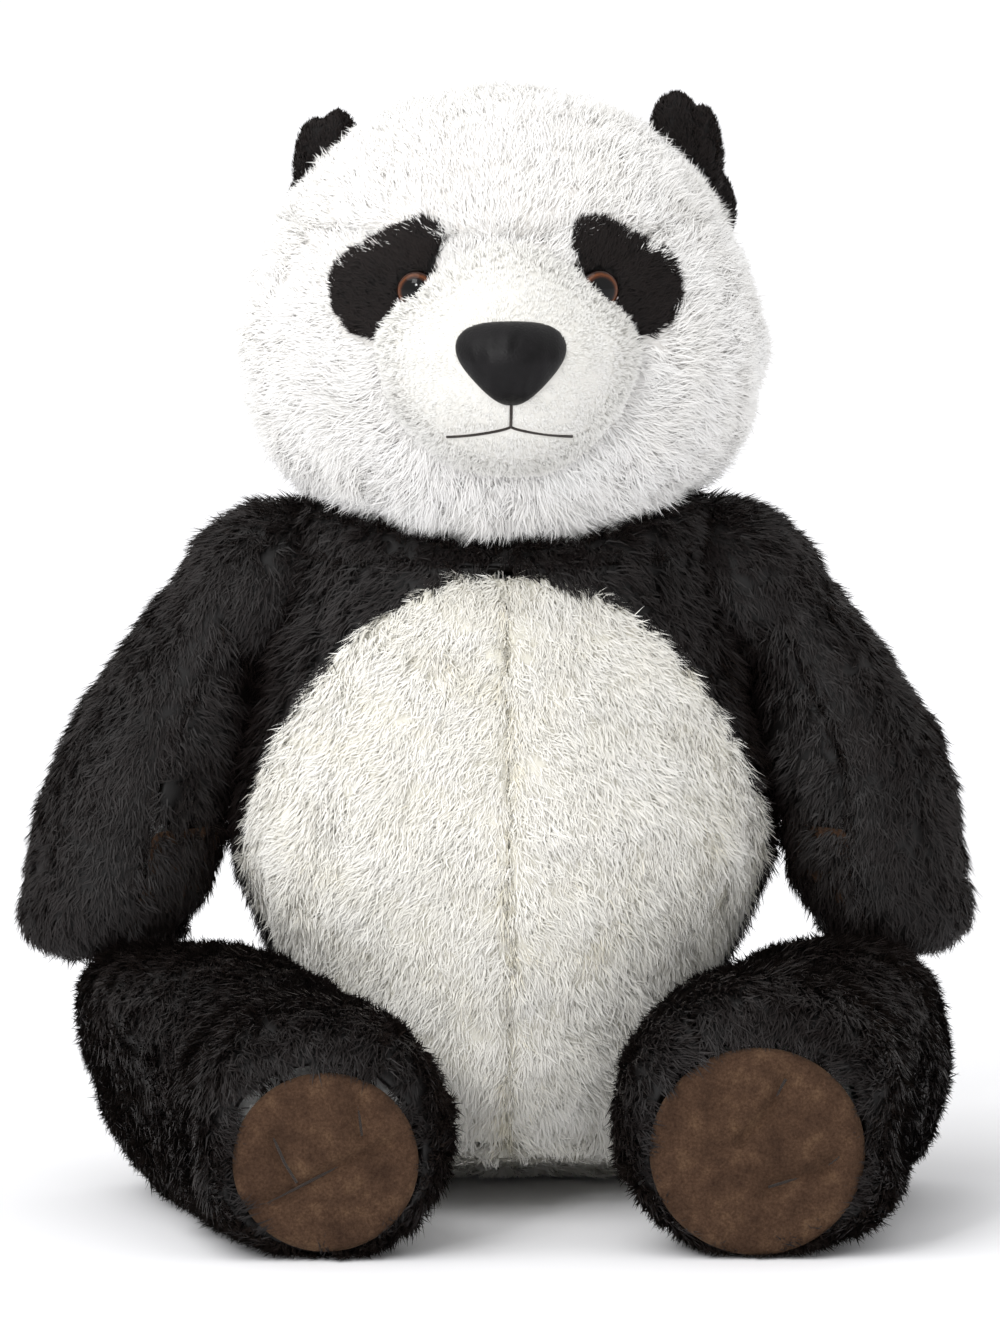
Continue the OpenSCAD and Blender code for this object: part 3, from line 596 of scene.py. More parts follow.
def full_leg(sign):
    """The thigh is rounder above and outside, and pulled in near the floor."""
    def shape(p):
        q = foot_grown(p, sign, SOLE[sign][1])
        outer = smooth((np.abs(p[:, 0]) - 115) / 40)
        rear = smooth((p[:, 1] + 150) / 70)
        top = smooth((p[:, 2] - 40) / 45)
        q[:, 0] += sign * outer * rear * ((6 * top + 8 * (1 - top)) if sign > 0 else (9 * top - 5 * (1 - top)))
        q[:, 2] += rear * top * (5 + 5 * outer)
        edge = smooth((np.abs(p[:, 0]) - (96 if sign > 0 else 76)) / 42)
        corner = edge * smooth((44 - p[:, 2]) / 36) * smooth((-85 - p[:, 1]) / 50)
        q[:, 0] += sign * corner * (20 if sign > 0 else 15)
        return q
    return shape


ARM_HEIGHTS = [98, 116, 133, 150, 165, 182, 200, 231, 247, 264, 283]
ARM_OUTWARD = {-1: [4, 6, 3, 4, 5, 6, 4, 0, -2, -4, -5], 1: [1, 1, -2, 0, 4, 6, 4, 0, -3, -9, -12]}


def full_arm(sign):
    """The arm hangs broad and low outside, and lies against the body inside."""
    def shape(p):
        q = p.copy()
        inner_x = 98 + (283 - p[:, 2]) * 0.1
        outer = smooth((np.abs(p[:, 0]) - inner_x - 8) / 22)
        inner = smooth((inner_x + 22 - np.abs(p[:, 0])) / 18)
        q[:, 0] += sign * (outer * np.interp(p[:, 2], ARM_HEIGHTS, ARM_OUTWARD[sign])
                           - 4.5 * inner * smooth((p[:, 2] - 150) / 25))
        q[:, 2] -= 9 * smooth((145 - p[:, 2]) / 35) * outer + 6 * smooth((p[:, 2] - 258) / 22)
        return q
    return shape


# ---- Fur ----

torso_out = outward_from(([0, 0, 60], [0, 0, 220]))
head_out = outward_from(([0, 0, 340], [0, 0, 360]))


def leg_length(at):
    """Pile of the legs: longer where it stands round the sole."""
    return 10.5 + 2.5 * smooth((-150 - at[:, 1]) / 25)


def belly_length(at):
    """Pile of the belly: longer at its lower edge, where it hangs over the seat."""
    return 10.5 + 4.0 * smooth((38 - at[:, 2]) / 14)


def jowl_length(at):
    """Pile of the head: longest where the cheeks hang down."""
    return 11.0 + 4.5 * bell(at[:, 2], 288, 16) + 1.5 * bell(at[:, 2], 320, 22)


def painted_seam_shade(at):
    """Along the belly's middle seam the strands are painted darker and creamier: painted shade in the parting of
    the pile.
    """
    return -0.34 * bell(at[:, 0] + 1.5 * np.sin(at[:, 2] / 17), 0, 3.2)


for side, sign in (("left", 1), ("right", -1)):
    seed = 10 if sign > 0 else 60
    # Belly pile, with painted shade along its middle seam
    fur_panel(f"belly_fur_{side}", f"belly_panel_{side}", "torso", "white_fur", cream_pile,
              torso_out, seed + 1, combed(0.25, 0, -1), shape=sunk_seat, tint=painted_seam_shade,
              density=2.0, length=belly_length, lift=34, width=0.6)
    fur_panel(f"side_fur_{side}", f"side_panel_{side}", "torso", "black_fur", black_pile,
              torso_out, seed + 2, combed(0.2, 0, -1), shape=sunk_seat, density=1.1, length=12.5, lift=46)
    fur_panel(f"upper_back_fur_{side}", f"upper_back_{side}", "torso", "black_fur", black_pile,
              torso_out, seed + 3, combed(0.1, 0, -1), density=1.2, length=11, lift=36)
    fur_panel(f"rump_fur_{side}", f"rump_panel_{side}", "torso", "white_fur", cream_pile,
              torso_out, seed + 4, combed(0.1, 0, -1), density=1.2, length=11, lift=34)
    fur_panel(f"cheek_fur_{side}", f"cheek_panel_{side}", "head", "white_fur", white_pile,
              head_out, seed + 5, face_comb, shape=full_jowls, bare=bare_face,
              density=2.3, length=jowl_length, lift=40, width=0.6)
    fur_panel(f"head_back_fur_{side}", f"head_back_{side}", "head", "white_fur", white_pile,
              head_out, seed + 6, face_comb, shape=full_jowls, density=1.2, length=jowl_length, lift=38)
    fur_panel(f"eye_patch_fur_{side}", f"eye_patch_{side}", "head", "black_fur", black_short,
              head_out, seed + 14, face_comb, bare=bare_eye,
              density=5.5, length=6.0, lift=32, width=0.5, spread=1.6, tuft=8, sink=1.2)
    arm = f"{side}_arm"
    arm_out = arm_outwards(sign)
    fur_panel(f"arm_fur_{side}", f"arm_outer_{side}", arm, "black_fur", black_pile,
              arm_out, seed + 7, combed(0.1, -0.1, -1), shape=full_arm(sign), density=1.6, length=10.5, lift=34,
              width=0.65)
    fur_panel(f"arm_inner_fur_{side}", f"arm_inner_{side}", arm, "black_fur", black_pile,
              arm_out, seed + 8, combed(0, 0, -1), shape=full_arm(sign), density=1.2, length=11, lift=46)
    leg = f"{side}_leg"
    foot_x = 97 if sign > 0 else 77
    leg_out = outward_from(([sign * 131, -15, 50], [sign * foot_x, -150, 45]))
    fur_panel(f"leg_fur_{side}", f"leg_top_{side}", leg, "black_fur", black_pile,
              leg_out, seed + 9, leg_comb(sign), shape=full_leg(sign),
              density=1.5, length=leg_length, lift=38, width=0.7)
    fur_panel(f"leg_inner_fur_{side}", f"leg_inner_{side}", leg, "black_fur", black_pile,
              leg_out, seed + 10, leg_comb(sign), shape=full_leg(sign), density=1.1, length=leg_length, lift=36)

fur_panel("crown_fur", "crown_panel", "head", "white_fur", white_pile,
          head_out, 31, face_comb, shape=full_jowls, bare=bare_face, density=1.9, length=10.5, lift=38, width=0.6)
fur_panel("shoulder_fur", "shoulder_yoke", "torso", "black_fur", black_pile,
          torso_out, 32, combed(0.4, -0.2, -1), density=1.3, length=11, lift=36)
fur_panel("seat_fur", "seat_panel", "torso", "white_fur", cream_pile,
          outward_from(([0, 0, 40], [0, 0, 41])), 34, lambda at, out: unit(at * [1, 1, 0] + [0, 0, -12]),
          shape=lambda p: sunk_seat(p * [0.9, 0.9, 1]) + [0, 2, 0], density=0.7, length=8, lift=24, sink=1.5)
fur_panel("tail_fur", "tail", "torso", "white_fur", cream_pile,
          outward_from(([0, 100, 70], [0, 125, 62])), 33, combed(0, 1, -0.4), density=1.6, length=11, lift=34)


def grid_piece(name, points, closed=True):
    """A skin of quads over rows of points in mm, each row a closed ring, facing out."""
    rows, cols = points.shape[:2]
    i, j = np.meshgrid(np.arange(rows - 1), np.arange(cols if closed else cols - 1), indexing="ij")
    k = (j + 1) % cols
    quads = np.stack([i * cols + j, i * cols + k, (i + 1) * cols + k, (i + 1) * cols + j], -1).reshape(-1, 4)
    mesh = bpy.data.meshes.new(name)
    mesh.from_pydata((points.reshape(-1, 3) * MM).tolist(), [], quads.tolist())
    mesh.update()
    piece = bpy.data.objects.new(name, mesh)
    bpy.context.scene.collection.objects.link(piece)
    only(piece)
    bpy.ops.object.mode_set(mode="EDIT")
    bpy.ops.mesh.select_all(action="SELECT")
    bpy.ops.mesh.remove_doubles(threshold=0.000001)
    bpy.ops.mesh.fill_holes(sides=0)
    bpy.ops.mesh.normals_make_consistent(inside=False)
    bpy.ops.object.mode_set(mode="OBJECT")
    bpy.ops.object.shade_smooth()
    return piece


def lip_line(s):
    """The line of the mouth, from corner to corner as s goes from -1 to 1."""
    return np.stack([25 * s, -27.5 - 6 * np.abs(s) ** 0.8], -1)


def near_line(x, z, line):
    """Distance from places to a line of points, all across and up."""
    best = np.full(np.shape(x), 1e9)
    for a, b in zip(line[:-1], line[1:]):
        d = b - a
        t = np.clip(((x - a[0]) * d[0] + (z - a[1]) * d[1]) / (d @ d), 0, 1)
        best = np.minimum(best, np.hypot(x - a[0] - t * d[0], z - a[1] - t * d[1]))
    return best


LIPS = lip_line(np.linspace(-1, 1, 21))
PHILTRUM = np.array([[0, -15.0], [0, -27.5]])
BRIDGE_SEAM = np.array([[21, 9.0], [27, 20], [28, 31], [29, 36]])
CHIN_SEAMS = [np.array([[19, -33.0], [27, -38], [30, -41]]) * [side, 1] for side in (1, -1)]


def muzzle_sunk(x, z):
    """How deep the mouth, the lip groove and the seams lie below the muzzle's surface."""
    depth = 1.5 * np.exp(-((near_line(x, z, LIPS) / 2.4) ** 2))
    depth += 0.8 * np.exp(-((near_line(x, z, PHILTRUM) / 1.8) ** 2))
    for line in (BRIDGE_SEAM, BRIDGE_SEAM * [-1, 1], *CHIN_SEAMS):
        depth += 0.55 * np.exp(-((near_line(x, z, line) / 0.9) ** 2))
    return depth


def muzzle_surface(x, z):
    """Point of the finished muzzle at a place across and up from the middle of the nose."""
    share, w = muzzle_place(x, z)
    point = muzzle_at(np.minimum(share, 1), w)
    point[..., 1] += muzzle_sunk(x, z)
    return point


k = 1 - np.linspace(0, 1, 46)[:, None] ** 1.25
w = np.linspace(0, 2 * math.pi, 144, endpoint=False)[None, :]
front = muzzle_at(k, w)
front[..., 1] += muzzle_sunk(front[..., 0], front[..., 2] - NOSE_UP)
lump = ripple(front.reshape(-1, 3), 42, 5).reshape(front.shape[:2])
front[..., 1] += 0.5 * lump * np.clip((1 - k) * 4, 0, 1)
rim = front[:1] + [0, 5, 0]
muzzle = grid_piece("muzzle_plush", np.concatenate([rim, front]))
place, normal, corner = mesh_arrays(muzzle)
middle = place[corner].mean(1)
shown = (normal[corner].mean(1)[:, 1] < 0.2) & (np.abs(middle[:, 1]) > 60)


def bare_muzzle(points, margin):
    x, y, z = points.T
    nose = np.hypot(x / 20.5, (z - NOSE_UP) / 14.5) < 1
    return nose | (near_line(x, z - NOSE_UP, LIPS) < 0.9) | (near_line(x, z - NOSE_UP, PHILTRUM) < 0.7)


def muzzle_comb(at, out):
    return unit(at - np.array([0, -150, NOSE_UP + 2]))


def muzzle_length(at):
    """Shorn to 2.6 mm, longer at the rim where it runs into the cheeks."""
    share, _ = muzzle_place(at[:, 0], at[:, 2] - NOSE_UP)
    return 2.6 + 4.4 * smooth((share - 0.8) / 0.2)


furnish(muzzle, [grow(place, normal, corner[shown], 41, muzzle_comb, density=3.0, length=muzzle_length, lift=36,
                      width=0.42, tuft=6, spread=1.2, sink=0.7, bare=bare_muzzle)], white_short)
finish_piece(muzzle, "head", "white_short_plush", "muzzle_panel_left", "muzzle_panel_right", "chin_panel")


# ---- Nose: a stuffed leather pad, rounded above and pointed below ----

w = np.linspace(0, 2 * math.pi, 96, endpoint=False)
outline = np.stack([21.8 * np.cos(w) * (1 + 0.2 * np.sin(w)),
                    15.6 * np.sin(w) * (1 - 0.16 * np.sin(w) - 0.07 * np.cos(2 * w) + 0.05 * np.sin(3 * w))], -1)
rings = []
for share in np.concatenate([[1.0], np.cos(np.linspace(0, math.pi / 2, 26))]):
    spot = outline * share + [0, 2]
    base = muzzle_surface(spot[:, 0], spot[:, 1])
    rise = 1.2 + 7.6 * max(0.0, 1 - share**2.3) ** 0.55 if rings else -1.0
    fold = 0.9 * np.exp(-((spot[:, 0] / 3.2) ** 2)) * np.clip((-spot[:, 1] - 1) / 9, 0, 1)
    wave = np.sin(spot[:, 0] * 0.9 + 0.6 * np.sin(spot[:, 1] * 0.35))
    crease = 0.28 * wave * np.clip(1 - abs(share - 0.6) * 2.2, 0, 1)
    base[:, 1] -= rise - fold * (rise > 0) - crease * (rise > 0)
    rings.append(base)
nose = grid_piece("nose_pad", np.array(rings))
dress(nose, leather)
finish_piece(nose, "head", "nose_leather", "nose")


# ---- Threads ----

def thread_material():
    """Mercerised embroidery thread: two plies twisted, satin, drawn twice as coarse as real to show."""
    material, shader = new_material("dark_embroidery_thread", Roughness=0.6, Sheen_Weight=0.2,
                                    Specular_IOR_Level=0.3)
    place = add_node(material, "ShaderNodeTexCoord")
    twist = add_node(material, "ShaderNodeTexWave",
                     {"Vector": place.outputs["Object"], "Scale": 900.0, "Distortion": 1.0},
                     bands_direction="DIAGONAL")
    colour = set_ramp(add_node(material, "ShaderNodeValToRGB", {"Fac": twist.outputs["Fac"]}),
                      [(0.2, "#1a1512"), (0.8, "#3a302a")])
    join_links(material, colour.outputs["Color"], shader.inputs["Base Color"])
    bump = add_node(material, "ShaderNodeBump",
                    {"Strength": 0.6, "Distance": 0.0003, "Height": twist.outputs["Fac"]})
    join_links(material, bump.outputs["Normal"], shader.inputs["Normal"])
    return material


thread = thread_material()


def thread_piece(name, lines, radius):
    """Round thread along one or more lines of points in mm."""
    curve = bpy.data.curves.new(name, "CURVE")
    curve.dimensions = "3D"
    curve.bevel_depth = radius * MM
    curve.bevel_resolution = 3
    curve.use_fill_caps = True
    for line in lines:
        spline = curve.splines.new("POLY")
        spline.points.add(len(line) - 1)
        for point, spot in zip(spline.points, line):
            point.co = (*(np.array(spot) * MM), 1)
    piece = bpy.data.objects.new(name, curve)
    bpy.context.scene.collection.objects.link(piece)
    only(piece)
    bpy.ops.object.convert(target="MESH")
    piece = bpy.context.object
    bpy.ops.object.shade_smooth()
    dress(piece, thread)
    return piece


philtrum = muzzle_surface(np.zeros(9), np.linspace(-15.5, -27.5, 9))
lips = muzzle_surface(*lip_line(np.linspace(-1, 1, 33)).T)
for line in (philtrum, lips):
    line[:, 1] -= 0.35
mouth = thread_piece("mouth_thread", [philtrum, lips], 0.62)
finish_piece(mouth, "head", "thread", "mouth_stitch")


# ---- Eyes: domed safety eyes with a brown iris round a wide pupil ----

def eye_material():
    """Injection moulded acrylic: clear gloss over a painted iris and pupil."""
    material, shader = new_material("glossy_safety_eye", Roughness=0.1, Specular_IOR_Level=0.12,
                                    Coat_Weight=0.3, Coat_Roughness=0.02)
    own_map = add_node(material, "ShaderNodeUVMap", uv_map="OFBake")
    place = add_node(material, "ShaderNodeSeparateXYZ", {"Vector": own_map.outputs["UV"]})
    iris = set_ramp(add_node(material, "ShaderNodeValToRGB", {"Fac": place.outputs["Y"]}),
                    [(0.0, "#020203"), (0.62, "#040304"), (0.7, "#3c1c0c"), (0.8, "#74401f"),
                     (0.9, "#3b1d0e"), (0.96, "#0c0605")])
    streak = add_node(material, "ShaderNodeTexNoise",
                      {"Vector": own_map.outputs["UV"], "Scale": 26.0, "Detail": 2.0})
    lit = set_ramp(add_node(material, "ShaderNodeValToRGB", {"Fac": streak.outputs["Fac"]}),
                   [(0.3, "#a8a8a8"), (0.7, "#ffffff")])
    mixed = add_node(material, "ShaderNodeMixRGB",
                     {"Fac": 1.0, "Color1": iris.outputs["Color"], "Color2": lit.outputs["Color"]},
                     blend_type="MULTIPLY")
    join_links(material, mixed.outputs[0], shader.inputs["Base Color"])
    return material


eye_plastic = eye_material()
# Pale arc material: a painted reflection along the eye's lower edge
eye_reflection_plastic, _ = new_material("pale_painted_eye_reflection", Base_Color=linear("#b9aeb0"), Roughness=0.25)

for side, sign in (("left", 1), ("right", -1)):
    radius = 8.2
    turn = math.radians(14)
    facing = np.array([sign * math.sin(turn), -math.cos(turn), 0.0])
    right = np.array([math.cos(turn), sign * math.sin(turn), 0.0])
    up = np.array([0, 0, 1.0])
    seat_y = float(face_y(np.array(EYE[0]), np.array(EYE[1] - HEAD_CENTRE))) - 3.4
    centre = np.array([sign * EYE[0], seat_y, EYE[1]])
    around = np.linspace(0, 2 * math.pi, 64, endpoint=False)
    rings, shares = [], []
    for share in np.concatenate([[1.0], np.cos(np.linspace(0, math.pi / 2, 22))]):
        rise = 4.6 * math.sqrt(max(0.0, 1 - share**2)) if rings else -2.0
        ring = centre + radius * share * (np.cos(around)[:, None] * right + np.sin(around)[:, None] * up)
        rings.append(ring + rise * facing)
    eye = grid_piece(f"eye_{side}", np.array(rings))
    mesh = eye.data
    layer = mesh.uv_layers.new(name="OFBake")
    spots = np.array([mesh.vertices[loop.vertex_index].co for loop in mesh.loops]) / MM - centre
    across, high = spots @ right, spots @ up
    layer.data.foreach_set("uv", np.stack([np.arctan2(high, across) / (2 * math.pi) % 1.0,
                                           np.hypot(across, high) / radius * 0.98], 1).astype(np.float32).ravel())
    mesh.materials.append(eye_plastic)
    finish_piece(eye, "head", "eye_plastic", f"safety_eye_{side}")
    # Thin pale arc along the lower edge of the eye: a painted reflection on the glossy dome
    arc = np.linspace(math.radians(200), math.radians(340), 24)
    line = centre + (radius + 0.1) * (np.cos(arc)[:, None] * right + np.sin(arc)[:, None] * up) + 0.9 * facing
    rim = thread_piece(f"painted_eye_reflection_{side}", [line], 0.3)
    dress(rim, eye_reflection_plastic)
    finish_piece(rim, "head", "eye_plastic")


# ---- Soles and paws: suede pads ----

def lines_of_toes(sign):
    """Sewn lines of a sole, across and up as shares of its radius; the two feet were sewn differently."""
    if sign > 0:
        lines = [[(0.26, 0.70), (0.08, 0.36), (-0.16, 0.12)],
                 [(0.10, -0.34), (0.32, -0.27), (0.58, -0.2), (0.76, -0.05)]]
    else:
        lines = [[(0.34, 0.70), (0.39, 0.3)], [(-0.56, 0.28), (-0.44, 0.0), (-0.31, -0.22)],
                 [(0.9, 0.3), (0.35, 0.08), (-0.31, -0.28), (-0.63, -0.45)]]
    return [np.array(line) for line in lines]


for side, sign in (("left", 1), ("right", -1)):
    low, high = (np.array(c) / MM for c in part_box(f"sole_pad_{side}"))
    middle, reach = (low + high) / 2, (high - low) / 2 * SOLE[sign][0]
    middle[2] = 2 + (middle[2] - 2) * (1 + 0.6 * (SOLE[sign][0] - 1))
    back, depth = high[1], high[1] - low[1]
    lines = [line * [reach[0], reach[2]] for line in lines_of_toes(sign)]
    dense = [np.stack([np.interp(np.linspace(0, len(l) - 1, 24), np.arange(len(l)), l[:, c])
                       for c in (0, 1)], 1) for l in lines]

    def sole_front(x, z):
        share = np.hypot(x / reach[0], z / reach[2])
        near = np.min([near_line(x, z, l) for l in dense], axis=0)
        swell = (depth - 0.5) * np.sqrt(np.maximum(0, 1 - np.minimum(share, 1) ** 2.2))
        drawn_in = 1.6 * bell(near, 0, 7) + 2.6 * bell(near, 0, 2.6)
        return back - 2.4 - swell + drawn_in * np.clip(3 * (1 - share), 0, 1)

    around = np.linspace(0, 2 * math.pi, 112, endpoint=False)
    rings = []
    for share in np.concatenate([[1.0], np.linspace(1, 0, 38)]):
        x, z = share * reach[0] * np.cos(around), share * reach[2] * np.sin(around)
        y = sole_front(x, z) if rings else np.full_like(x, back)
        y = y + 0.45 * ripple(np.stack([x, y, z], 1), 22, 71 + sign) * (share < 0.97)
        rings.append(np.stack([x + middle[0], y, z + middle[2]], 1))
    sole = grid_piece(f"sole_suede_{side}", np.array(rings))
    dress(sole, suede)
    finish_piece(sole, f"{side}_leg", "brown_suede", f"sole_pad_{side}")
    threads = []
    for line in dense:
        y = sole_front(line[:, 0], line[:, 1]) + 0.2
        threads.append(np.stack([line[:, 0] + middle[0], y, line[:, 1] + middle[2]], 1))
    toes = thread_piece(f"toe_thread_{side}", threads, 0.55)
    finish_piece(toes, f"{side}_leg", "thread", f"toe_stitch_{side}")
    paw = panel_mesh(f"paw_suede_{side}", f"paw_pad_{side}", levels=3, shape=full_arm(sign))
    reshape(paw, lambda p: p + 0.4 * ripple(p, 24, 80)[:, None] * np.array([1, 0.3, 0.2]))
    dress(paw, suede)
    finish_piece(paw, f"{side}_arm", "brown_suede", f"paw_pad_{side}")
    # Pile of the arm laps over the front of the pad
    fringe = panel_mesh(f"paw_fringe_{side}", f"paw_pad_{side}", shape=full_arm(sign))
    place, normal, corner = mesh_arrays(fringe)
    reshape(fringe, lambda p: p - 1.2 * normal)
    lapped = (place[corner].mean(1)[:, 1] < 2) & (
        (unit(normal[corner].mean(1)) * arm_outwards(sign)(place[corner].mean(1))).sum(1) > 0.2)
    furnish(fringe, [grow(place, normal, corner[lapped], 51 + sign, combed(-0.1, -0.1, -1), density=1.8,
                          length=10.5, lift=34, width=0.65)], black_pile)
    finish_piece(fringe, f"{side}_arm", "black_fur")


# ---- Ears: small, folded, in lumps with a crease between, all in short pile ----

# Middle and half size of each lump, mirrored for the right ear
EAR_LUMPS = {1: [((71, 15, 422), (11.5, 9.5, 25)), ((81.5, 18, 419), (7.5, 9, 22)), ((83, 29, 397), (12, 11, 17)),
                 ((75, 22, 408), (13, 13, 20))],
             -1: [((66, 15, 418), (9, 9.5, 22)), ((75, 18, 416), (8, 9, 20)), ((74, 28, 398), (12, 11, 16)),
                  ((70, 22, 405), (12, 13, 18))]}

for side, sign in (("left", 1), ("right", -1)):
    lumps = []
    for middle, half in EAR_LUMPS[sign]:
        bpy.ops.object.select_all(action="DESELECT")
        bpy.ops.mesh.primitive_uv_sphere_add(segments=40, ring_count=24, radius=MM)
        lump = bpy.context.object
        reshape(lump, lambda p: p * half * (1 - 0.12 * p[:, 2:3]) + [sign * middle[0], middle[1], middle[2]])
        lumps.append(lump)
    for lump in lumps:
        lump.select_set(True)
    bpy.context.view_layer.objects.active = lumps[0]
    bpy.ops.object.join()
    ear = bpy.context.object
    ear.name = f"ear_plush_{side}"
    joined = ear.modifiers.new("joined", "REMESH")
    joined.mode, joined.voxel_size = "VOXEL", 0.0012
    eased = ear.modifiers.new("eased", "SMOOTH")
    eased.factor, eased.iterations = 0.5, 16
    apply_all(ear)
    bpy.ops.object.shade_smooth()
    place, normal, corner = mesh_arrays(ear)
    furnish(ear, [grow(place, normal, corner, 21 + sign, combed(0.1, 0, 1), density=4.2, length=3.6, lift=48,
                       width=0.5, spread=1.5, tuft=6, sink=1.0)], black_short)
    finish_piece(ear, f"{side}_ear", "black_short_plush", f"ear_front_{side}", f"ear_back_{side}")

# ---- Shoulders: fur that joins the arm to the body ----

for side, sign in (("left", 1), ("right", -1)):
    polar = np.linspace(0.02, math.pi - 0.02, 26)[:, None]
    around = np.linspace(0, 2 * math.pi, 44, endpoint=False)[None, :]
    across = np.cos(polar) * np.ones_like(around)
    form = np.stack([sign * (98 + 33 * across),
                     3 + 31 * np.sin(polar) * np.cos(around),
                     246 - 9 * across + 31 * np.sin(polar) * np.sin(around)], -1)
    shoulder = grid_piece(f"shoulder_bridge_{side}", form)
    place, normal, corner = mesh_arrays(shoulder)
    furnish(shoulder, [grow(place, normal, corner, 90 + sign, combed(0.5, 0, -1), density=1.3,
                            length=11, lift=38)], black_pile)
    finish_piece(shoulder, "torso", "black_fur")
    shoulder.parent = None
    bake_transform(shoulder)


# ---- Gathered ends: fur drawn together where a limb's cloth is tied off ----


def gathered_end(name, body, middle, half, seed, comb):
    """A small rounded form with pile all over it that closes the end of a limb."""
    bpy.ops.object.select_all(action="DESELECT")
    bpy.ops.mesh.primitive_uv_sphere_add(segments=24, ring_count=16, radius=MM)
    piece = bpy.context.object
    piece.name = name
    reshape(piece, lambda p: p * half + middle)
    bpy.ops.object.shade_smooth()
    place, normal, corner = mesh_arrays(piece)
    furnish(piece, [grow(place, normal, corner, seed, comb, density=1.8, length=9, lift=34, width=0.65, sink=1.5)],
            black_pile)
    return finish_piece(piece, body, "black_fur")


for side, sign in (("left", 1), ("right", -1)):
    gathered_end(f"hip_end_{side}", f"{side}_leg", [sign * 114, 8, 31], [16, 10, 17],
                 95 + sign, combed(0.1, 0.3, -1))
    gathered_end(f"paw_end_{side}", f"{side}_arm", [sign * 149, -4, 109], [19, 24, 9],
                 98 + sign, combed(0.4, -0.3, -0.5))


# ---- What lies inside and under the fur ----

def knit_material(name, sheen, shades, raised):
    """Warp knitted polyester, brushed: fine loops in rows about a millimetre apart."""
    material, shader = new_material(name, Roughness=0.9, Sheen_Weight=sheen, Specular_IOR_Level=0.2)
    place = add_node(material, "ShaderNodeTexCoord")
    loops = add_node(material, "ShaderNodeTexWave",
                     {"Vector": place.outputs["Object"], "Scale": 320.0, "Distortion": 1.5, "Detail": 2.0},
                     bands_direction="DIAGONAL")
    colour = set_ramp(add_node(material, "ShaderNodeValToRGB", {"Fac": loops.outputs["Fac"]}), shades)
    join_links(material, colour.outputs["Color"], shader.inputs["Base Color"])
    if raised:
        bump = add_node(material, "ShaderNodeBump",
                        {"Strength": 0.4, "Distance": 0.0003, "Height": loops.outputs["Fac"]})
        join_links(material, bump.outputs["Normal"], shader.inputs["Normal"])
    return material


def fibre_material():
    """Loose siliconised polyester fibre: bright white, soft, with faint tangled lines."""
    material, shader = new_material("white_polyester_fibre", Roughness=1.0, Sheen_Weight=0.3,
                                    Specular_IOR_Level=0.1)
    place = add_node(material, "ShaderNodeTexCoord")
    tangle = add_node(material, "ShaderNodeTexNoise", {"Vector": place.outputs["Object"], "Scale": 260.0,
                                                       "Detail": 6.0, "Distortion": 2.5})
    colour = set_ramp(add_node(material, "ShaderNodeValToRGB", {"Fac": tangle.outputs["Fac"]}),
                      [(0.3, "#d8d7d4"), (0.7, "#fbfbfa")])
    join_links(material, colour.outputs["Color"], shader.inputs["Base Color"])
    bump = add_node(material, "ShaderNodeBump",
                    {"Strength": 0.6, "Distance": 0.001, "Height": tangle.outputs["Fac"]})
    join_links(material, bump.outputs["Normal"], shader.inputs["Normal"])
    return material


def nylon_material():
    """Injection moulded white nylon, slightly milky, with fine flow marks."""
    material, shader = new_material("white_moulded_nylon", Roughness=0.45, Specular_IOR_Level=0.5)
    place = add_node(material, "ShaderNodeTexCoord")
    flow = add_node(material, "ShaderNodeTexNoise",
                    {"Vector": place.outputs["Object"], "Scale": 400.0, "Detail": 3.0})
    colour = set_ramp(add_node(material, "ShaderNodeValToRGB", {"Fac": flow.outputs["Fac"]}),
                      [(0.3, "#e4e2dc"), (0.7, "#f3f2ee")])
    join_links(material, colour.outputs["Color"], shader.inputs["Base Color"])
    return material


# Lining of the pellet bag, and the black knitted ground of the neck gusset
knit = knit_material("cream_brushed_knit", 0.2, [(0.1, "#d9d5c8"), (0.9, "#f1efe6")], True)
gusset_knit = knit_material("black_brushed_knit", 0.15, [(0.1, "#0d0a0a"), (0.9, "#1f1918")], False)
fibre, nylon = fibre_material(), nylon_material()


def cloth_piece(name, node, body, slot, material, shape=None):
    piece = panel_mesh(name, node, levels=1, shape=shape)
    dress(piece, material)
    return finish_piece(piece, body, slot, node)


def filling(name, node, body, slot, material, lumps, shape=None):
    """A stuffed filling: the CAD body rounded, then pushed in lumps that stay inside the cloth."""
    piece = panel_mesh(name, node, levels=1, crease=0)
    remesh = piece.modifiers.new("even", "REMESH")
    remesh.mode = "VOXEL"
    remesh.voxel_size = 0.005
    apply_all(piece)
    place, normal, _ = mesh_arrays(piece)
    hollow = 0.5 + 0.5 * ripple(place, lumps, len(node))
    reshape(piece, lambda p: p - np.clip(0.8 + 1.6 * hollow, 0.2, 3.0)[:, None] * normal)
    if shape is not None:
        reshape(piece, shape)
    only(piece)
    bpy.ops.object.shade_smooth()
    dress(piece, material)
    return finish_piece(piece, body, slot, node)


filling("body_filling", "body_stuffing", "torso", "filling", fibre, 34, shape=sunk_seat)
filling("pellet_bag", "weight_bag", "torso", "bag_cloth", knit, 18,
        shape=lambda p: sunk_seat(p * [0.85, 0.8, 1] + [0, 6, 4]))
filling("head_filling", "head_stuffing", "head", "filling", fibre, 30)
filling("muzzle_filling", "muzzle_stuffing", "head", "filling", fibre, 20)
filling("neck_filling", "neck_stuffing", "neck", "filling", fibre, 16)
cloth_piece("neck_cloth", "neck_gusset", "neck", "black_short_plush", gusset_knit)
for side in ("left", "right"):
    filling(f"arm_filling_{side}", f"arm_stuffing_{side}", f"{side}_arm", "filling", fibre, 26)
    filling(f"leg_filling_{side}", f"leg_stuffing_{side}", f"{side}_leg", "filling", fibre, 30)
    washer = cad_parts[f"eye_washer_{side}"]
    for slot in washer.material_slots:
        slot.material = nylon
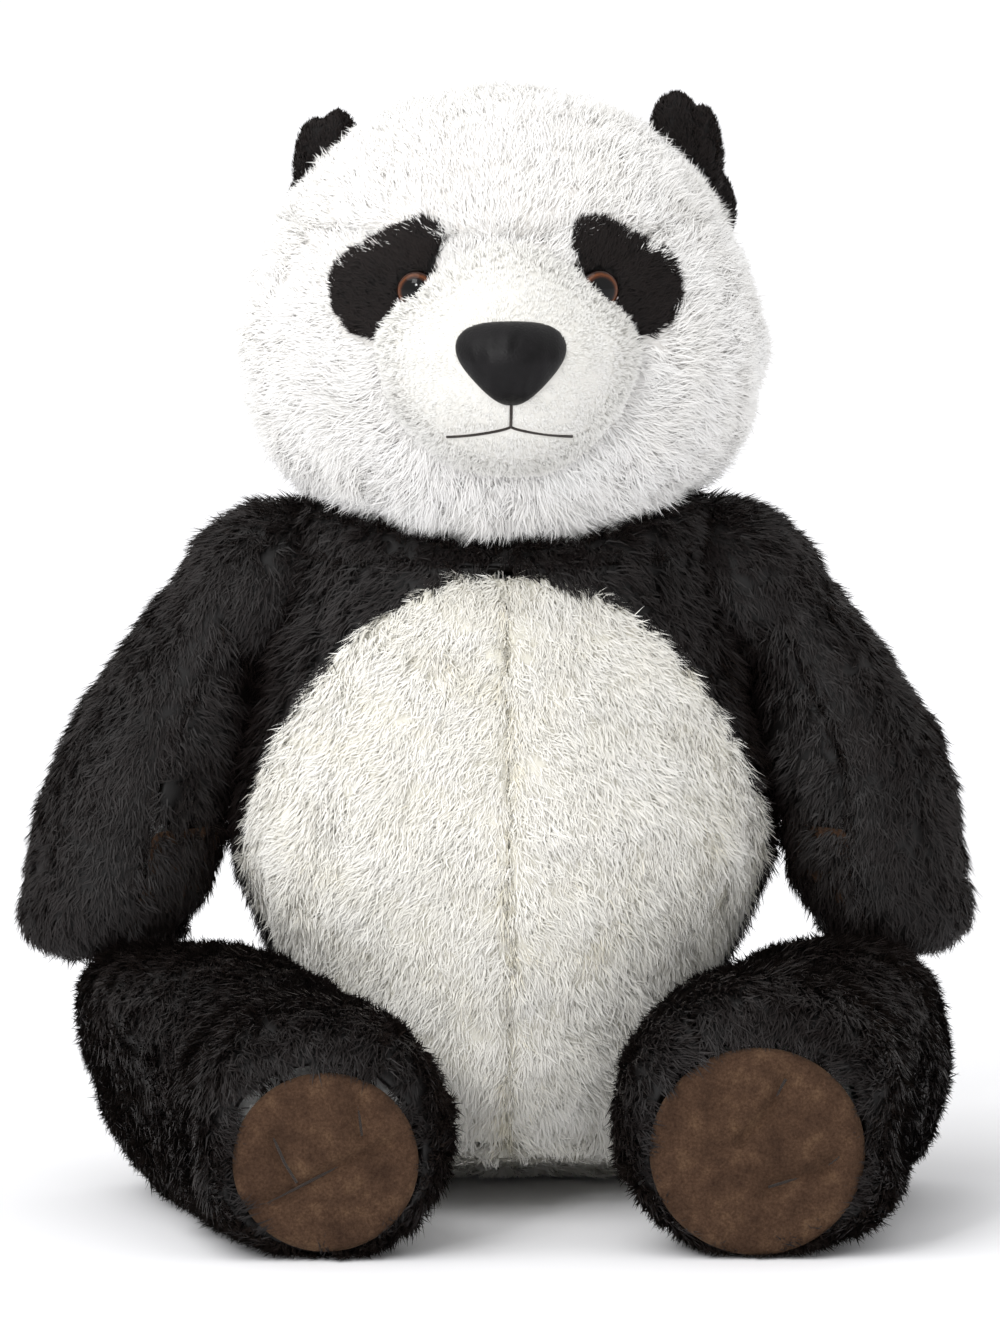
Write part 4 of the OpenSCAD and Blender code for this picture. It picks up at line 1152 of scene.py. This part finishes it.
cloth_piece("back_thread", "back_closing_stitch", "torso", "thread", thread, shape=lambda p: p - [0, 3.5, 0])


# ---- Camera, floor and lights ----

camera = bpy.data.objects.new("camera", bpy.data.cameras.new("camera"))
bpy.context.scene.collection.objects.link(camera)
camera.data.sensor_fit = "VERTICAL"
camera.data.sensor_height = 24
elevation, azimuth, away = math.radians(8), math.radians(1.7), 10.0
LENS_PER_METRE = 44.4
camera.data.lens = LENS_PER_METRE * away
target = Vector((-0.0008, 0, 0.212))
camera.location = target + away * Vector(
    (-math.sin(azimuth) * math.cos(elevation), -math.cos(azimuth) * math.cos(elevation), math.sin(elevation)))
camera.rotation_euler = (target - camera.location).to_track_quat("-Z", "Y").to_euler()
bpy.context.scene.camera = camera

bpy.ops.object.select_all(action="DESELECT")
bpy.ops.mesh.primitive_circle_add(vertices=96, radius=60, fill_type="NGON", location=(0, 0, -0.0004))
floor = bpy.context.object
floor.name = "floor"
paper, _ = new_material("pale_paper_floor", Base_Color=linear("#fafafc"), Roughness=0.9)
floor.data.materials.append(paper)

world = bpy.data.worlds.new("studio")
bpy.context.scene.world = world
world.use_nodes = True
world.node_tree.nodes["Background"].inputs["Color"].default_value = (1, 1, 1, 1)
world.node_tree.nodes["Background"].inputs["Strength"].default_value = 0.86
bpy.context.scene.view_settings.view_transform = "Standard"


def soft_light(name, place, aim, size, power):
    """A square soft box at a place, turned to a point."""
    data = bpy.data.lights.new(name, "AREA")
    data.size = size
    data.energy = power
    light = bpy.data.objects.new(name, data)
    bpy.context.scene.collection.objects.link(light)
    light.location = place
    light.rotation_euler = (Vector(aim) - Vector(place)).to_track_quat("-Z", "Y").to_euler()
    return light


soft_light("key", (-1.3, -2.3, 2.0), (0, 0, 0.2), 0.9, 15)
soft_light("catchlight", (-1.0, -2.6, 1.25), (0, -0.1, 0.37), 0.3, 14)
sun = bpy.data.objects.new("window_light", bpy.data.lights.new("window_light", "SUN"))
bpy.context.scene.collection.objects.link(sun)
sun.data.energy = 1.0
sun.data.angle = math.radians(50)
sun.rotation_euler = Vector((0.55, 0.35, -1.0)).to_track_quat("-Z", "Y").to_euler()
